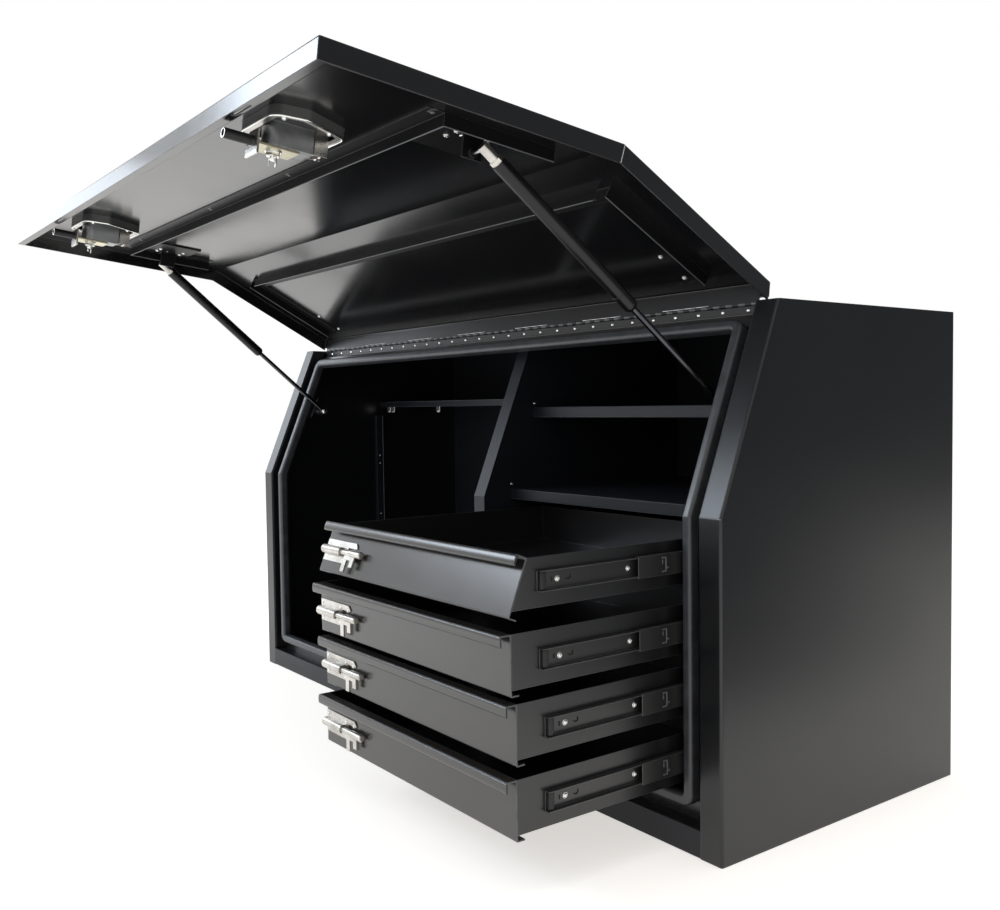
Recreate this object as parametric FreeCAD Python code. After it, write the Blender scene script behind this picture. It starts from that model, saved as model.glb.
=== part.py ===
import FreeCAD, Part
import math
import os

# Cabinet shell, all sizes in millimetres
cabinet_width = 1550.0
cabinet_depth = 600.0
cabinet_height = 815.0
bend_height = 498.4
slant_setback = 127.3
cabinet_sheet = 2.5
nose_share = 0.9
face_width = 41.0
rail_height = 41.0
fold_radius = 4.0
top_tab_width = 38.0

# Door frame: gutter, upright lip and rubber seal
gutter_depth = 32.0
gutter_sheet = 2.0
gutter_width = 31.0
lip_front = 12.0
header_setback = 34.7
header_drop = 18.0
seal_width = 18.0
seal_front = 6.0
seal_depth = 18.0
seal_round = 6.0
seal_corner = 20.0
seal_inner_corner = 4.0

# Lid, modelled closed and then swung open
lid_side_gap = 3.0
lid_low_gap = 5.0
lid_sheet = 2.0
lid_flange = 28.0
lid_return = 14.0
lid_top_flange = 24.0
lid_fold_radius = 3.0
lid_open_angle = 96.8
lid_slot_length = 54.0
lid_slot_width = 5.0
lid_slot_offset = 65.0

# Piano hinge
hinge_radius = 3.0
hinge_leaf = 1.5
hinge_pin_radius = 1.5
hinge_clearance = 0.05
hinge_end_inset = 60.0
hinge_leaf_height = 15.0
knuckle_length = 102.0
knuckle_gap = 0.4

# Lid stiffeners
stiffener_width = 27.0
stiffener_height = 18.0
stiffener_sheet = 1.5
front_bar_gap = 27.0
front_bar_inset = 130.0
front_leg_top = 50.0
slant_bar_rise = 66.0
slant_bar_inset = 163.0
slant_leg_end = 37.0

# Quarter turn locks with a folding handle
lock_inset = 330.0
lock_end_inset = 109.4
lock_half_width = 68.0
lock_half_height = 58.0
lock_foot_half = 56.0
lock_head_half = 38.0
lock_widest_drop = 12.0
lock_corner = 20.0
lock_wall = 2.0
lock_skirt = 16.0
lock_ring_width = 9.0
lock_ring_thickness = 2.0
lock_recess = 8.0
lock_bezel = 5.0
lock_bezel_thickness = 2.5
lock_cup_half = 17.0
lock_cup_length = 50.0
lock_cup_depth = 44.0
lock_shaft_offset = 29.0
lock_shaft_radius = 5.0
lock_running_gap = 0.1
cam_plate_width = 38.0
cam_plate_tail = 30.0
cam_plate_thickness = 3.0
cam_plate_gap = 0.4
cam_nut_height = 6.0
cam_arm_length = 28.0
cam_tab_depth = 12.0
sleeve_radius = 7.0
sleeve_length = 40.0
sleeve_wall = 2.0
sleeve_socket = 12.0
sleeve_seal_gap = 1.0
cam_tab_foot = 20.0
handle_reach = 38.0
handle_bar = 52.0
handle_stem = 12.0
handle_bar_width = 12.0
handle_thickness = 5.0
handle_gap = 0.6
neck_width = 6.0
neck_height = 5.2
pivot_radius = 1.2
pivot_clearance = 0.05
clamp_half = 12.0
clamp_length = 20.0
clamp_rise = 30.0
clamp_gap = 4.0

# Gas struts
strut_lid_inset = 138.0
strut_bar_gap = 24.5
strut_lid_depth = 29.0
strut_ear_offset = 30.0
strut_plate_width = 84.0
strut_plate_height = 92.0
strut_ear_width = 32.0
strut_wall_inset = 100.0
strut_wall_drop = 149.2
strut_wall_depth = 55.4
strut_tube_radius = 11.0
strut_tube_length = 283.0
strut_rod_radius = 5.0
strut_rod_overlap = 40.0
strut_stroke = 216.0
strut_rod_gap = 0.1
strut_bore_end = 2.0
strut_ball_radius = 5.0
strut_ball_gap = 0.15
strut_socket_radius = 8.0
strut_socket_length = 26.0
strut_end_radius = 8.0
strut_end_width = 12.0
strut_end_gap = 0.3
strut_stud_radius = 4.0
strut_bracket = 3.0
ball_stud_radius = 3.0
ball_stud_gap = 0.6
ball_collar_radius = 6.0
ball_collar_length = 4.0
socket_back = 6.4
lower_plate_gap = 6.0
lower_plate_half = 27.0
lower_ear_gap = 2.7
lower_ear_half = 12.0
lower_ear_reach = 10.0

# Divider, drawer bay and shelves
divider_face = 901.0
divider_sheet = 2.0
divider_setback = 58.0
divider_flange = 33.0
divider_flange_top = 40.0
bay_sheet = 2.0
bay_top_gap = 1.0
bay_side_gap = 9.3
bay_flange = 28.0
bay_back_gap = 14.0
shelf_sheet = 2.0
upper_shelf_height = 660.0
upper_shelf_setback = 183.0
lower_shelf_height = 500.0
lower_shelf_setback = 122.0
shelf_lip = 20.0
left_shelf_height = 679.0
left_shelf_setback = 350.0
left_shelf_lip = 14.0
shelf_bracket = 24.0
upright_y = 330.0
upright_width = 20.0
upright_depth = 10.0
upright_bottom = 300.0

# Drawers, counted from the lowest
drawer_count = 4
drawer_bottoms = [84.0, 185.0, 279.0, 384.0]
drawer_pulls = [371.0, 370.0, 378.0, 381.0]
drawer_setback = 78.0
drawer_height = 84.0
drawer_front_sheet = 2.0
drawer_sheet = 1.5
drawer_tray_depth = 497.0
tray_rise = 9.0
lip_out = 16.0
lip_down = 16.0
front_return = 14.0

# Telescopic slides
slide_thickness = 12.7
slide_sheet = 1.2
slide_gap = 0.3
slide_side_gap = 0.5
slide_outer_reach = 7.6
slide_middle_reach = 9.5
slide_height = 35.0
slide_rise = 45.0
slide_outer_start = 92.0
slide_back_gap = 5.5
slide_middle_start = 113.0
slide_middle_length = 450.0
slide_inner_setback = 48.0
slide_inner_length = 445.0

# Bolt latches on the drawer fronts
latch_inset = 3.0
latch_length = 103.0
latch_height = 37.0
latch_rise = 38.0
latch_plate = 2.0
latch_corner = 6.0
latch_axis = 8.0
latch_barrel_start = 6.0
latch_barrel_radius = 7.5
latch_barrel_length = 62.0
latch_bolt_radius = 4.5
latch_bore_gap = 0.3
latch_notch = 28.0
latch_notch_rise = 9.0
latch_knob_radius = 6.0
latch_knob_length = 36.0
latch_knob_round = 2.5
latch_knob_gap = 0.6
latch_pull_thickness = 3.0
latch_pull_gap = 1.0
latch_pull_length = 34.0
latch_pull_depth = 12.0
latch_finger_width = 11.0
latch_finger_reach = 32.0
latch_short_reach = 23.0
latch_bolt_throw = 22.0
bolt_hole_gap = 1.0

# Derived angle and directions of the slanted upper face
slant_rise = cabinet_height - bend_height
slant_angle = math.atan2(slant_setback, slant_rise)
slant_length = math.hypot(slant_setback, slant_rise)
sin_slant = math.sin(slant_angle)
cos_slant = math.cos(slant_angle)
half_tan = math.tan(slant_angle / 2.0)
Vector = FreeCAD.Vector
X_AXIS = Vector(1, 0, 0)

# Derived positions of the door frame
lip_inset = face_width + gutter_width
gutter_floor_front = gutter_depth - gutter_sheet
header_y = slant_setback + header_setback
header_z = cabinet_height - header_drop
header_lip = slant_length - gutter_width
rail_lip = rail_height + gutter_width

# Derived positions of the lid and its hinge
lid_left = face_width + lid_side_gap
lid_right = cabinet_width - lid_left
lid_bottom = rail_height + lid_low_gap
leaf_top = cabinet_height - lid_sheet
hinge_y = header_y - hinge_radius
hinge_z = leaf_top - hinge_leaf + hinge_radius
hinge_point = Vector(0, hinge_y, hinge_z)

# Derived places on the lid's front panel, counted down from the bend
lock_drop = bend_height - lid_bottom - lock_end_inset
shaft_drop = lock_drop + lock_shaft_offset
front_bar_drop = lock_drop - lock_half_height - front_bar_gap - stiffener_width
strut_lid_drop = front_bar_drop - strut_bar_gap - strut_plate_height / 2.0

# Derived positions of the drawer bay
tray_left = divider_face + slide_thickness
bay_right = cabinet_width - lip_inset - gutter_sheet - bay_side_gap
bay_height = lower_shelf_height - shelf_lip - bay_top_gap
tray_right = bay_right - slide_thickness


def box(x0, x1, y0, y1, z0, z1):
    return Part.makeBox(x1 - x0, y1 - y0, z1 - z0, Vector(x0, y0, z0))


def cylinder_x(x0, x1, y, z, radius):
    return Part.makeCylinder(radius, x1 - x0, Vector(x0, y, z), X_AXIS)


def fuse(shapes):
    joined = shapes[0]
    for shape in shapes[1:]:
        joined = joined.fuse(shape)
    return joined.removeSplitter()


def group(shapes):
    solids = []
    for shape in shapes:
        solids.extend(shape.Solids)
    return Part.makeCompound(solids)


def slant_point(rise, depth):
    y = rise * sin_slant + depth * cos_slant
    z = bend_height + rise * cos_slant - depth * sin_slant
    return (y, z)


def bend_point(depth):
    return (depth, bend_height - depth * half_tan)


def rise_at_height(z, depth):
    return (z - bend_height + depth * sin_slant) / cos_slant


# A profile in the YZ plane drawn out along X
def profile_x(points, x0, x1):
    corners = [Vector(x0, y, z) for y, z in points]
    wire = Part.makePolygon(corners + corners[:1])
    return Part.Face(wire).extrude(Vector(x1 - x0, 0, 0))


# A layer that follows the bent door face between two depths, level at both ends
def strip(x0, x1, depth0, depth1, z_low, z_high):
    outer_top = slant_point(rise_at_height(z_high, depth0), depth0)
    inner_top = slant_point(rise_at_height(z_high, depth1), depth1)
    points = [(depth0, z_low), bend_point(depth0), outer_top]
    points += [inner_top, bend_point(depth1), (depth1, z_low)]
    return profile_x(points, x0, x1)


# The same layer with its upper end cut square to the slanted face
def strip_square(x0, x1, depth0, depth1, z_low, rise):
    points = [(depth0, z_low), bend_point(depth0), slant_point(rise, depth0)]
    points += [slant_point(rise, depth1), bend_point(depth1), (depth1, z_low)]
    return profile_x(points, x0, x1)


# Local axes on a face: x along the box, y up the face, z outwards
def on_front(shape, y=0.0, z=None):
    placed = shape.copy()
    placed.rotate(Vector(0, 0, 0), X_AXIS, 90.0)
    placed.translate(Vector(0, y, bend_height if z is None else z))
    return placed


def on_slant(shape, y=0.0, z=None):
    placed = shape.copy()
    placed.rotate(Vector(0, 0, 0), X_AXIS, 90.0 - math.degrees(slant_angle))
    placed.translate(Vector(0, y, bend_height if z is None else z))
    return placed


# Swings a piece of the lid from the closed to the open position
def opened(shape):
    swung = shape.copy()
    swung.rotate(hinge_point, X_AXIS, -lid_open_angle)
    return swung


def opened_point(x, y, z):
    angle = math.radians(-lid_open_angle)
    dy = y - hinge_y
    dz = z - hinge_z
    new_y = hinge_y + dy * math.cos(angle) - dz * math.sin(angle)
    new_z = hinge_z + dy * math.sin(angle) + dz * math.cos(angle)
    return Vector(x, new_y, new_z)


def mirrored(shape):
    return shape.mirror(Vector(cabinet_width / 2.0, 0, 0), X_AXIS)


# Fillets the straight edges along one direction that lie on a given line
def fillet_edges(shape, radius, test):
    edges = [edge for edge in shape.Edges if test(edge)]
    return shape.makeFillet(radius, edges)


def edge_ends(edge):
    return [vertex.Point for vertex in edge.Vertexes]


# Side panel with its face flange and a tab under the top panel
def make_side_panel():
    plate_points = [(0, 0), (cabinet_depth, 0), (cabinet_depth, cabinet_height)]
    plate_points += [(slant_setback, cabinet_height), (0, bend_height)]
    plate = profile_x(plate_points, 0, cabinet_sheet)
    flange = strip(0, face_width, 0, cabinet_sheet, 0, cabinet_height)
    tab_front = slant_setback + cabinet_sheet
    tab = box(0, top_tab_width, tab_front, header_y, cabinet_height - cabinet_sheet, cabinet_height)
    panel = fuse([plate, flange, tab])

    def outer_fold(edge):
        ends = edge_ends(edge)
        on_side = all(abs(p.x) < 0.01 for p in ends)
        on_face = all(
            abs(p.y - max(0.0, p.z - bend_height) * slant_setback / slant_rise) < 0.01
            for p in ends
        )
        return on_side and on_face and len(ends) == 2

    return fillet_edges(panel, fold_radius, outer_fold)


side_panel_left = make_side_panel()
side_panel_right = mirrored(side_panel_left)

# Back, floor with its front rail, and top panel
inner_left = cabinet_sheet
inner_right = cabinet_width - cabinet_sheet
inner_back = cabinet_depth - cabinet_sheet
back_panel = box(inner_left, inner_right, inner_back, cabinet_depth, 0, cabinet_height)
floor_plate = box(inner_left, inner_right, cabinet_sheet, inner_back, 0, cabinet_sheet)
rail_face = box(face_width, cabinet_width - face_width, 0, cabinet_sheet, 0, rail_height)
floor_panel = fuse([floor_plate, rail_face])


def rail_fold(edge):
    ends = edge_ends(edge)
    return len(ends) == 2 and all(abs(p.y) < 0.01 and abs(p.z) < 0.01 for p in ends)


floor_panel = fillet_edges(floor_panel, cabinet_sheet * nose_share, rail_fold)
top_bottom = cabinet_height - cabinet_sheet
top_panel = box(inner_left, inner_right, header_y, inner_back, top_bottom, cabinet_height)

# Gutter of the door frame: wall, floor and upright lip on each side
header_floor_rise = rise_at_height(header_z, gutter_depth)
side_top = header_lip - gutter_sheet


def make_gutter_side():
    wall_left = face_width - gutter_sheet
    wall = strip(wall_left, face_width, cabinet_sheet, gutter_depth, rail_height, top_bottom)
    floor = strip_square(
        face_width, lip_inset + gutter_sheet, gutter_floor_front, gutter_depth,
        rail_lip + gutter_sheet, side_top,
    )
    lip = strip_square(
        lip_inset, lip_inset + gutter_sheet, lip_front, gutter_depth,
        rail_lip + gutter_sheet, side_top,
    )
    return fuse([wall, floor, lip])


gutter_left = make_gutter_side()
gutter_right = mirrored(gutter_left)

bottom_wall = box(
    face_width, cabinet_width - face_width, cabinet_sheet, gutter_depth,
    rail_height - gutter_sheet, rail_height,
)
bottom_floor = box(
    face_width, cabinet_width - face_width, gutter_floor_front, gutter_depth,
    rail_height, rail_lip + gutter_sheet,
)
bottom_lip = box(
    lip_inset, cabinet_width - lip_inset, lip_front, gutter_depth,
    rail_lip, rail_lip + gutter_sheet,
)
gutter_bottom = fuse([bottom_wall, bottom_floor, bottom_lip])

header_left = face_width
header_right = cabinet_width - face_width
header_flange = box(
    header_left, header_right, header_y, header_y + gutter_sheet,
    header_z - gutter_sheet, top_bottom,
)
header_floor_top = slant_point(header_floor_rise, gutter_depth)
header_front_rise = rise_at_height(header_z, gutter_floor_front)
header_front_top = slant_point(header_front_rise, gutter_floor_front)
header_shelf = box(
    header_left, header_right, header_front_top[0], header_y + gutter_sheet,
    header_z - gutter_sheet, header_z,
)
header_floor = profile_x(
    [
        slant_point(header_lip - gutter_sheet, gutter_floor_front),
        header_front_top,
        header_floor_top,
        slant_point(header_lip - gutter_sheet, gutter_depth),
    ],
    header_left, header_right,
)
header_lip_sheet = profile_x(
    [
        slant_point(header_lip - gutter_sheet, lip_front),
        slant_point(header_lip, lip_front),
        slant_point(header_lip, gutter_depth),
        slant_point(header_lip - gutter_sheet, gutter_depth),
    ],
    lip_inset, cabinet_width - lip_inset,
)
gutter_top = fuse([header_flange, header_shelf, header_floor, header_lip_sheet])


# Seal: a rounded frame on each face, mitred where the face bends
def rounded_rectangle(x0, x1, y0, y1, low_radius, high_radius, depth0, depth1):
    edges = []

    def line(ax, ay, bx, by):
        edges.append(Part.makeLine(Vector(ax, ay, 0), Vector(bx, by, 0)))

    def corner(cx, cy, radius, start):
        edges.append(Part.makeCircle(radius, Vector(cx, cy, 0), Vector(0, 0, 1), start, start + 90))

    low = low_radius
    high = high_radius
    line(x0 + low, y0, x1 - low, y0)
    if low > 0:
        corner(x1 - low, y0 + low, low, 270)
    line(x1, y0 + low, x1, y1 - high)
    if high > 0:
        corner(x1 - high, y1 - high, high, 0)
    line(x1 - high, y1, x0 + high, y1)
    if high > 0:
        corner(x0 + high, y1 - high, high, 90)
    line(x0, y1 - high, x0, y0 + low)
    if low > 0:
        corner(x0 + low, y0 + low, low, 180)
    face = Part.Face(Part.Wire(Part.__sortEdges__(edges)))
    face.translate(Vector(0, 0, -depth1))
    return face.extrude(Vector(0, 0, depth1 - depth0))


def seal_half(low, high, low_radius, high_radius, low_inner, high_inner, low_width, high_width):
    x0 = lip_inset + gutter_sheet / 2.0 - seal_width / 2.0
    x1 = cabinet_width - x0
    back = seal_front + seal_depth
    outer = rounded_rectangle(x0, x1, low, high, low_radius, high_radius, seal_front, back)
    inner = rounded_rectangle(
        x0 + seal_width, x1 - seal_width, low + low_width, high - high_width,
        low_inner, high_inner, seal_front - 1.0, back + 1.0,
    )
    frame = outer.cut(inner)
    front_edges = [
        edge for edge in frame.Edges
        if all(abs(p.z + seal_front) < 0.01 for p in edge_ends(edge))
    ]
    return frame.makeFillet(seal_round, front_edges)


mitre_reach = 60.0
seal_low = rail_lip + gutter_sheet / 2.0 - seal_width / 2.0 - bend_height
seal_high = header_lip - gutter_sheet / 2.0 + seal_width / 2.0
front_half = on_front(
    seal_half(seal_low, mitre_reach, seal_corner, 0, seal_inner_corner, 0, seal_width, 0)
)
slant_half = on_slant(
    seal_half(-mitre_reach, seal_high, 0, seal_corner, 0, seal_inner_corner, 0, seal_width)
)
mitre_points = [bend_point(-mitre_reach), bend_point(2 * mitre_reach)]
low_side = mitre_points + [(2 * mitre_reach, -mitre_reach), (-mitre_reach, -mitre_reach)]
below_mitre = profile_x(low_side, 0, cabinet_width)
high_side = mitre_points + [
    (cabinet_depth, bend_height - 2 * mitre_reach * half_tan),
    (cabinet_depth, cabinet_height + mitre_reach),
    (-mitre_reach, cabinet_height + mitre_reach),
]
above_mitre = profile_x(high_side, 0, cabinet_width)
seal_ring = front_half.common(below_mitre).fuse(slant_half.common(above_mitre)).removeSplitter()
door_seal = seal_ring.cut(fuse([gutter_left, gutter_right]))
door_seal = door_seal.cut(gutter_bottom).cut(gutter_top)

# Divider with its front flange and the holes for the latch bolts
front_planes = []
for index in range(drawer_count):
    front_planes.append(on_slant if index == drawer_count - 1 else on_front)


def latch_closed_centre(index):
    lean = slant_angle if front_planes[index] is on_slant else 0.0
    y = drawer_setback + latch_rise * math.sin(lean) - latch_axis * math.cos(lean)
    z = drawer_bottoms[index] + latch_rise * math.cos(lean) + latch_axis * math.sin(lean)
    return (y, z)


divider_back = divider_setback + divider_sheet
divider_top_rise = rise_at_height(top_bottom, divider_setback)
divider_points = [(divider_setback, cabinet_sheet), bend_point(divider_setback)]
divider_points += [slant_point(divider_top_rise, divider_setback)]
divider_points += [(inner_back, top_bottom), (inner_back, cabinet_sheet)]
divider_plate = profile_x(divider_points, divider_face - divider_sheet, divider_face)
divider_header_cut = box(
    divider_face - divider_sheet - 1, divider_face + 1, 0, header_y + gutter_sheet,
    header_z - gutter_sheet, cabinet_height,
)
divider_plate = divider_plate.cut(divider_header_cut)
divider_front = strip(
    divider_face - divider_flange, divider_face, divider_setback, divider_back,
    cabinet_sheet, cabinet_height - divider_flange_top,
)
divider_panel = fuse([divider_plate, divider_front])
for index in range(drawer_count):
    hole_y, hole_z = latch_closed_centre(index)
    hole = cylinder_x(
        divider_face - divider_sheet - 1, divider_face + 1, hole_y, hole_z,
        latch_bolt_radius + bolt_hole_gap,
    )
    divider_panel = divider_panel.cut(hole)

# Drawer bay side, welded behind the gutter
bay_plate = box(
    bay_right, bay_right + bay_sheet, gutter_depth, inner_back - bay_back_gap,
    cabinet_sheet, bay_height,
)
bay_front = box(
    bay_right, bay_right + bay_flange, gutter_depth, gutter_depth + bay_sheet,
    cabinet_sheet, bay_height,
)
drawer_bay_panel = fuse([bay_plate, bay_front])


# Folded shelves with a lip down at the front
def make_shelf(x0, x1, front, top, lip):
    sheet = box(x0, x1, front, inner_back, top - shelf_sheet, top)
    fold = box(x0, x1, front, front + shelf_sheet, top - lip, top)
    shelf = fuse([sheet, fold])

    def nose(edge):
        ends = edge_ends(edge)
        return len(ends) == 2 and all(
            abs(p.y - front) < 0.01 and abs(p.z - top) < 0.01 for p in ends
        )

    return fillet_edges(shelf, shelf_sheet * nose_share, nose)


shelf_right_upper = make_shelf(
    divider_face, inner_right, upper_shelf_setback, upper_shelf_height, shelf_lip
)
shelf_right_lower = make_shelf(
    divider_face, inner_right, lower_shelf_setback, lower_shelf_height, shelf_lip
)
divider_left_face = divider_face - divider_sheet
shelf_left = make_shelf(
    inner_left, divider_left_face, left_shelf_setback, left_shelf_height, left_shelf_lip
)


# Small angle brackets under the shelf ends and the upright on the left wall
def shelf_angle(wall_x, direction, y, top):
    x_far = wall_x + direction * shelf_bracket
    leg_x = wall_x + direction * shelf_sheet
    flat = box(min(wall_x, x_far), max(wall_x, x_far), y, y + shelf_bracket, top - shelf_sheet, top)
    leg = box(min(wall_x, leg_x), max(wall_x, leg_x), y, y + shelf_bracket, top - shelf_bracket, top)
    return fuse([flat, leg])


bracket_solids = []
right_shelves = [
    (upper_shelf_setback, upper_shelf_height),
    (lower_shelf_setback, lower_shelf_height),
]
for shelf_front, shelf_top in right_shelves:
    for bracket_y in (shelf_front + 3 * shelf_bracket, inner_back - 3 * shelf_bracket):
        under = shelf_top - shelf_sheet
        bracket_solids.append(shelf_angle(divider_face, 1, bracket_y, under))
        bracket_solids.append(shelf_angle(inner_right, -1, bracket_y, under))
for bracket_y in (left_shelf_setback + 2 * shelf_bracket, inner_back - 3 * shelf_bracket):
    under = left_shelf_height - shelf_sheet
    bracket_solids.append(shelf_angle(inner_left, 1, bracket_y, under))
    bracket_solids.append(shelf_angle(divider_left_face, -1, bracket_y, under))
upright_top = left_shelf_height - shelf_bracket - left_shelf_lip
upright_outer = box(
    inner_left, inner_left + upright_depth, upright_y, upright_y + upright_width,
    upright_bottom, upright_top,
)
upright_inner = box(
    inner_left - 1, inner_left + upright_depth - shelf_sheet, upright_y + shelf_sheet,
    upright_y + upright_width - shelf_sheet, upright_bottom - 1, upright_top + 1,
)
bracket_solids.append(upright_outer.cut(upright_inner))
shelf_brackets = group(bracket_solids)

# Piano hinge: fixed leaf, moving leaf and pin
hinge_left = hinge_end_inset
hinge_right = cabinet_width - hinge_end_inset
hinge_length = hinge_right - hinge_left
knuckle_total = max(3, int(round(hinge_length / knuckle_length)))
knuckle_step = hinge_length / knuckle_total
leaf_bore = hinge_pin_radius + hinge_clearance


def knuckles(first):
    barrels = []
    for number in range(first, knuckle_total, 2):
        start = hinge_left + number * knuckle_step + knuckle_gap / 2.0
        end = start + knuckle_step - knuckle_gap
        barrels.append(cylinder_x(start, end, hinge_y, hinge_z, hinge_radius))
    return barrels


# Slots in a leaf that let the other leaf's knuckles turn
def leaf_slots(first, y0, y1, z0, z1):
    slots = []
    for number in range(first, knuckle_total, 2):
        start = hinge_left + number * knuckle_step - knuckle_gap / 2.0
        slots.append(box(start, start + knuckle_step + knuckle_gap, y0, y1, z0, z1))
    return slots


slot_radius = hinge_radius + 0.3
fixed_leaf = box(
    hinge_left, hinge_right, header_y - hinge_leaf, header_y,
    hinge_z - hinge_leaf_height, hinge_z,
)
for slot in leaf_slots(1, header_y - hinge_leaf - 1, header_y + 1, hinge_z - slot_radius, hinge_z + 1):
    fixed_leaf = fixed_leaf.cut(slot)
hinge_bore = cylinder_x(hinge_left - 1, hinge_right + 1, hinge_y, hinge_z, leaf_bore)
hinge_fixed_leaf = fuse([fixed_leaf] + knuckles(0)).cut(hinge_bore)
hinge_pin = cylinder_x(hinge_left, hinge_right, hinge_y, hinge_z, hinge_pin_radius)

moving_leaf_front = slant_setback + lid_sheet * 2.0
moving_leaf = box(
    hinge_left, hinge_right, moving_leaf_front, hinge_y, leaf_top - hinge_leaf, leaf_top
)
for slot in leaf_slots(0, hinge_y - slot_radius, hinge_y + 1, leaf_top - hinge_leaf - 1, leaf_top + 1):
    moving_leaf = moving_leaf.cut(slot)
hinge_moving_leaf = opened(fuse([moving_leaf] + knuckles(1)).cut(hinge_bore))

# Lid skin: bent sheet with side flanges, top flange and a returned free edge
lid_skin_sheet = strip(lid_left, lid_right, 0, lid_sheet, lid_bottom, cabinet_height)
lid_side_left = strip(
    lid_left, lid_left + lid_sheet, 0, lid_flange, lid_bottom, leaf_top
)
lid_side_right = mirrored(lid_side_left)
lid_top = box(
    lid_left, lid_right, slant_setback, slant_setback + lid_top_flange, leaf_top, cabinet_height
)
lid_end = box(lid_left, lid_right, 0, lid_flange, lid_bottom, lid_bottom + lid_sheet)
lid_lip = box(
    lid_left, lid_right, lid_flange - lid_sheet, lid_flange, lid_bottom, lid_bottom + lid_return
)
lid_body = fuse([lid_skin_sheet, lid_side_left, lid_side_right, lid_top, lid_end, lid_lip])


def lid_fold(edge):
    ends = edge_ends(edge)
    if len(ends) != 2:
        return False
    flush = all(
        abs(p.y - max(0.0, p.z - bend_height) * slant_setback / slant_rise) < 0.01 for p in ends
    )
    on_left = all(abs(p.x - lid_left) < 0.01 for p in ends)
    on_right = all(abs(p.x - lid_right) < 0.01 for p in ends)
    on_end = all(abs(p.z - lid_bottom) < 0.01 for p in ends)
    return flush and (on_left or on_right or on_end)


lid_body = fillet_edges(lid_body, lid_fold_radius, lid_fold)
lock_centres = [lock_inset, cabinet_width - lock_inset]
for lock_x in lock_centres:
    slot_x = lock_x + lid_slot_offset
    slot_z = lid_bottom + lid_return / 2.0
    lid_body = lid_body.cut(box(
        slot_x - lid_slot_length / 2.0, slot_x + lid_slot_length / 2.0,
        lid_flange - lid_sheet - 1, lid_flange + 1,
        slot_z - lid_slot_width / 2.0, slot_z + lid_slot_width / 2.0,
    ))


# Rounded outline of the lock housing, in the local axes of the front face
def lock_outline():
    half = lock_half_height
    corners = [
        (-lock_foot_half, -half), (lock_foot_half, -half), (lock_half_width, -lock_widest_drop),
        (lock_head_half, half), (-lock_head_half, half), (-lock_half_width, -lock_widest_drop),
    ]
    points = [Vector(x, y, 0) for x, y in corners]
    prism = Part.Face(Part.makePolygon(points + points[:1])).extrude(Vector(0, 0, 1))
    upright = [edge for edge in prism.Edges if abs(edge_ends(edge)[0].z - edge_ends(edge)[1].z) > 0.5]
    rounded = prism.makeFillet(lock_corner, upright)
    foot = [face for face in rounded.Faces if abs(face.BoundBox.ZMax) < 0.001]
    return foot[0].OuterWire


lock_wire = lock_outline()


def lock_slice(grow, depth0, depth1, centre_x):
    wire = lock_wire.makeOffset2D(grow) if grow else lock_wire
    solid = Part.Face(wire).extrude(Vector(0, 0, depth1 - depth0))
    solid.translate(Vector(centre_x, -lock_drop, -depth1))
    return solid


def lock_opening(centre_x):
    return on_front(lock_slice(0, -1.0, lid_sheet + 1.0, centre_x))


for lock_x in lock_centres:
    lid_body = lid_body.cut(lock_opening(lock_x))
lid_skin = opened(lid_body)


# Lock housing: bezel, recess, rear skirt with its ring and the cast cup round the shaft
def make_lock_housing(centre_x):
    body = lock_slice(0, 0, lock_skirt, centre_x)
    bezel = lock_slice(lock_bezel, -lock_bezel_thickness, 0, centre_x)
    dish = lock_slice(-lock_wall, -lock_bezel_thickness - 1, lock_recess, centre_x)
    floor_back = lock_recess + lock_wall
    hollow = lock_slice(-lock_wall, floor_back, lock_skirt - lock_ring_thickness, centre_x)
    mouth = lock_slice(-lock_wall - lock_ring_width, floor_back, lock_skirt + 1, centre_x)
    housing = body.fuse(bezel).cut(dish).cut(hollow).cut(mouth)
    cup_box = box(
        centre_x - lock_cup_half, centre_x + lock_cup_half, -shaft_drop,
        -shaft_drop + lock_cup_length, -lock_cup_depth, -lock_recess,
    )
    cup_round = Part.makeCylinder(
        lock_cup_half, lock_cup_depth - lock_recess, Vector(centre_x, -shaft_drop, -lock_cup_depth)
    )
    cup = fuse([cup_box, cup_round])
    rim = [edge for edge in cup.Edges if all(abs(p.z + lock_cup_depth) < 0.01 for p in edge_ends(edge))]
    cup = cup.makeFillet(lock_wall, rim)
    bore = Part.makeCylinder(
        lock_shaft_radius + lock_running_gap, lock_cup_depth + 10.0,
        Vector(centre_x, -shaft_drop, -lock_cup_depth - 1.0),
    )
    return opened(on_front(housing.fuse(cup).cut(bore).removeSplitter()))


lock_housing_left = make_lock_housing(lock_centres[0])
lock_housing_right = make_lock_housing(lock_centres[1])


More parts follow.
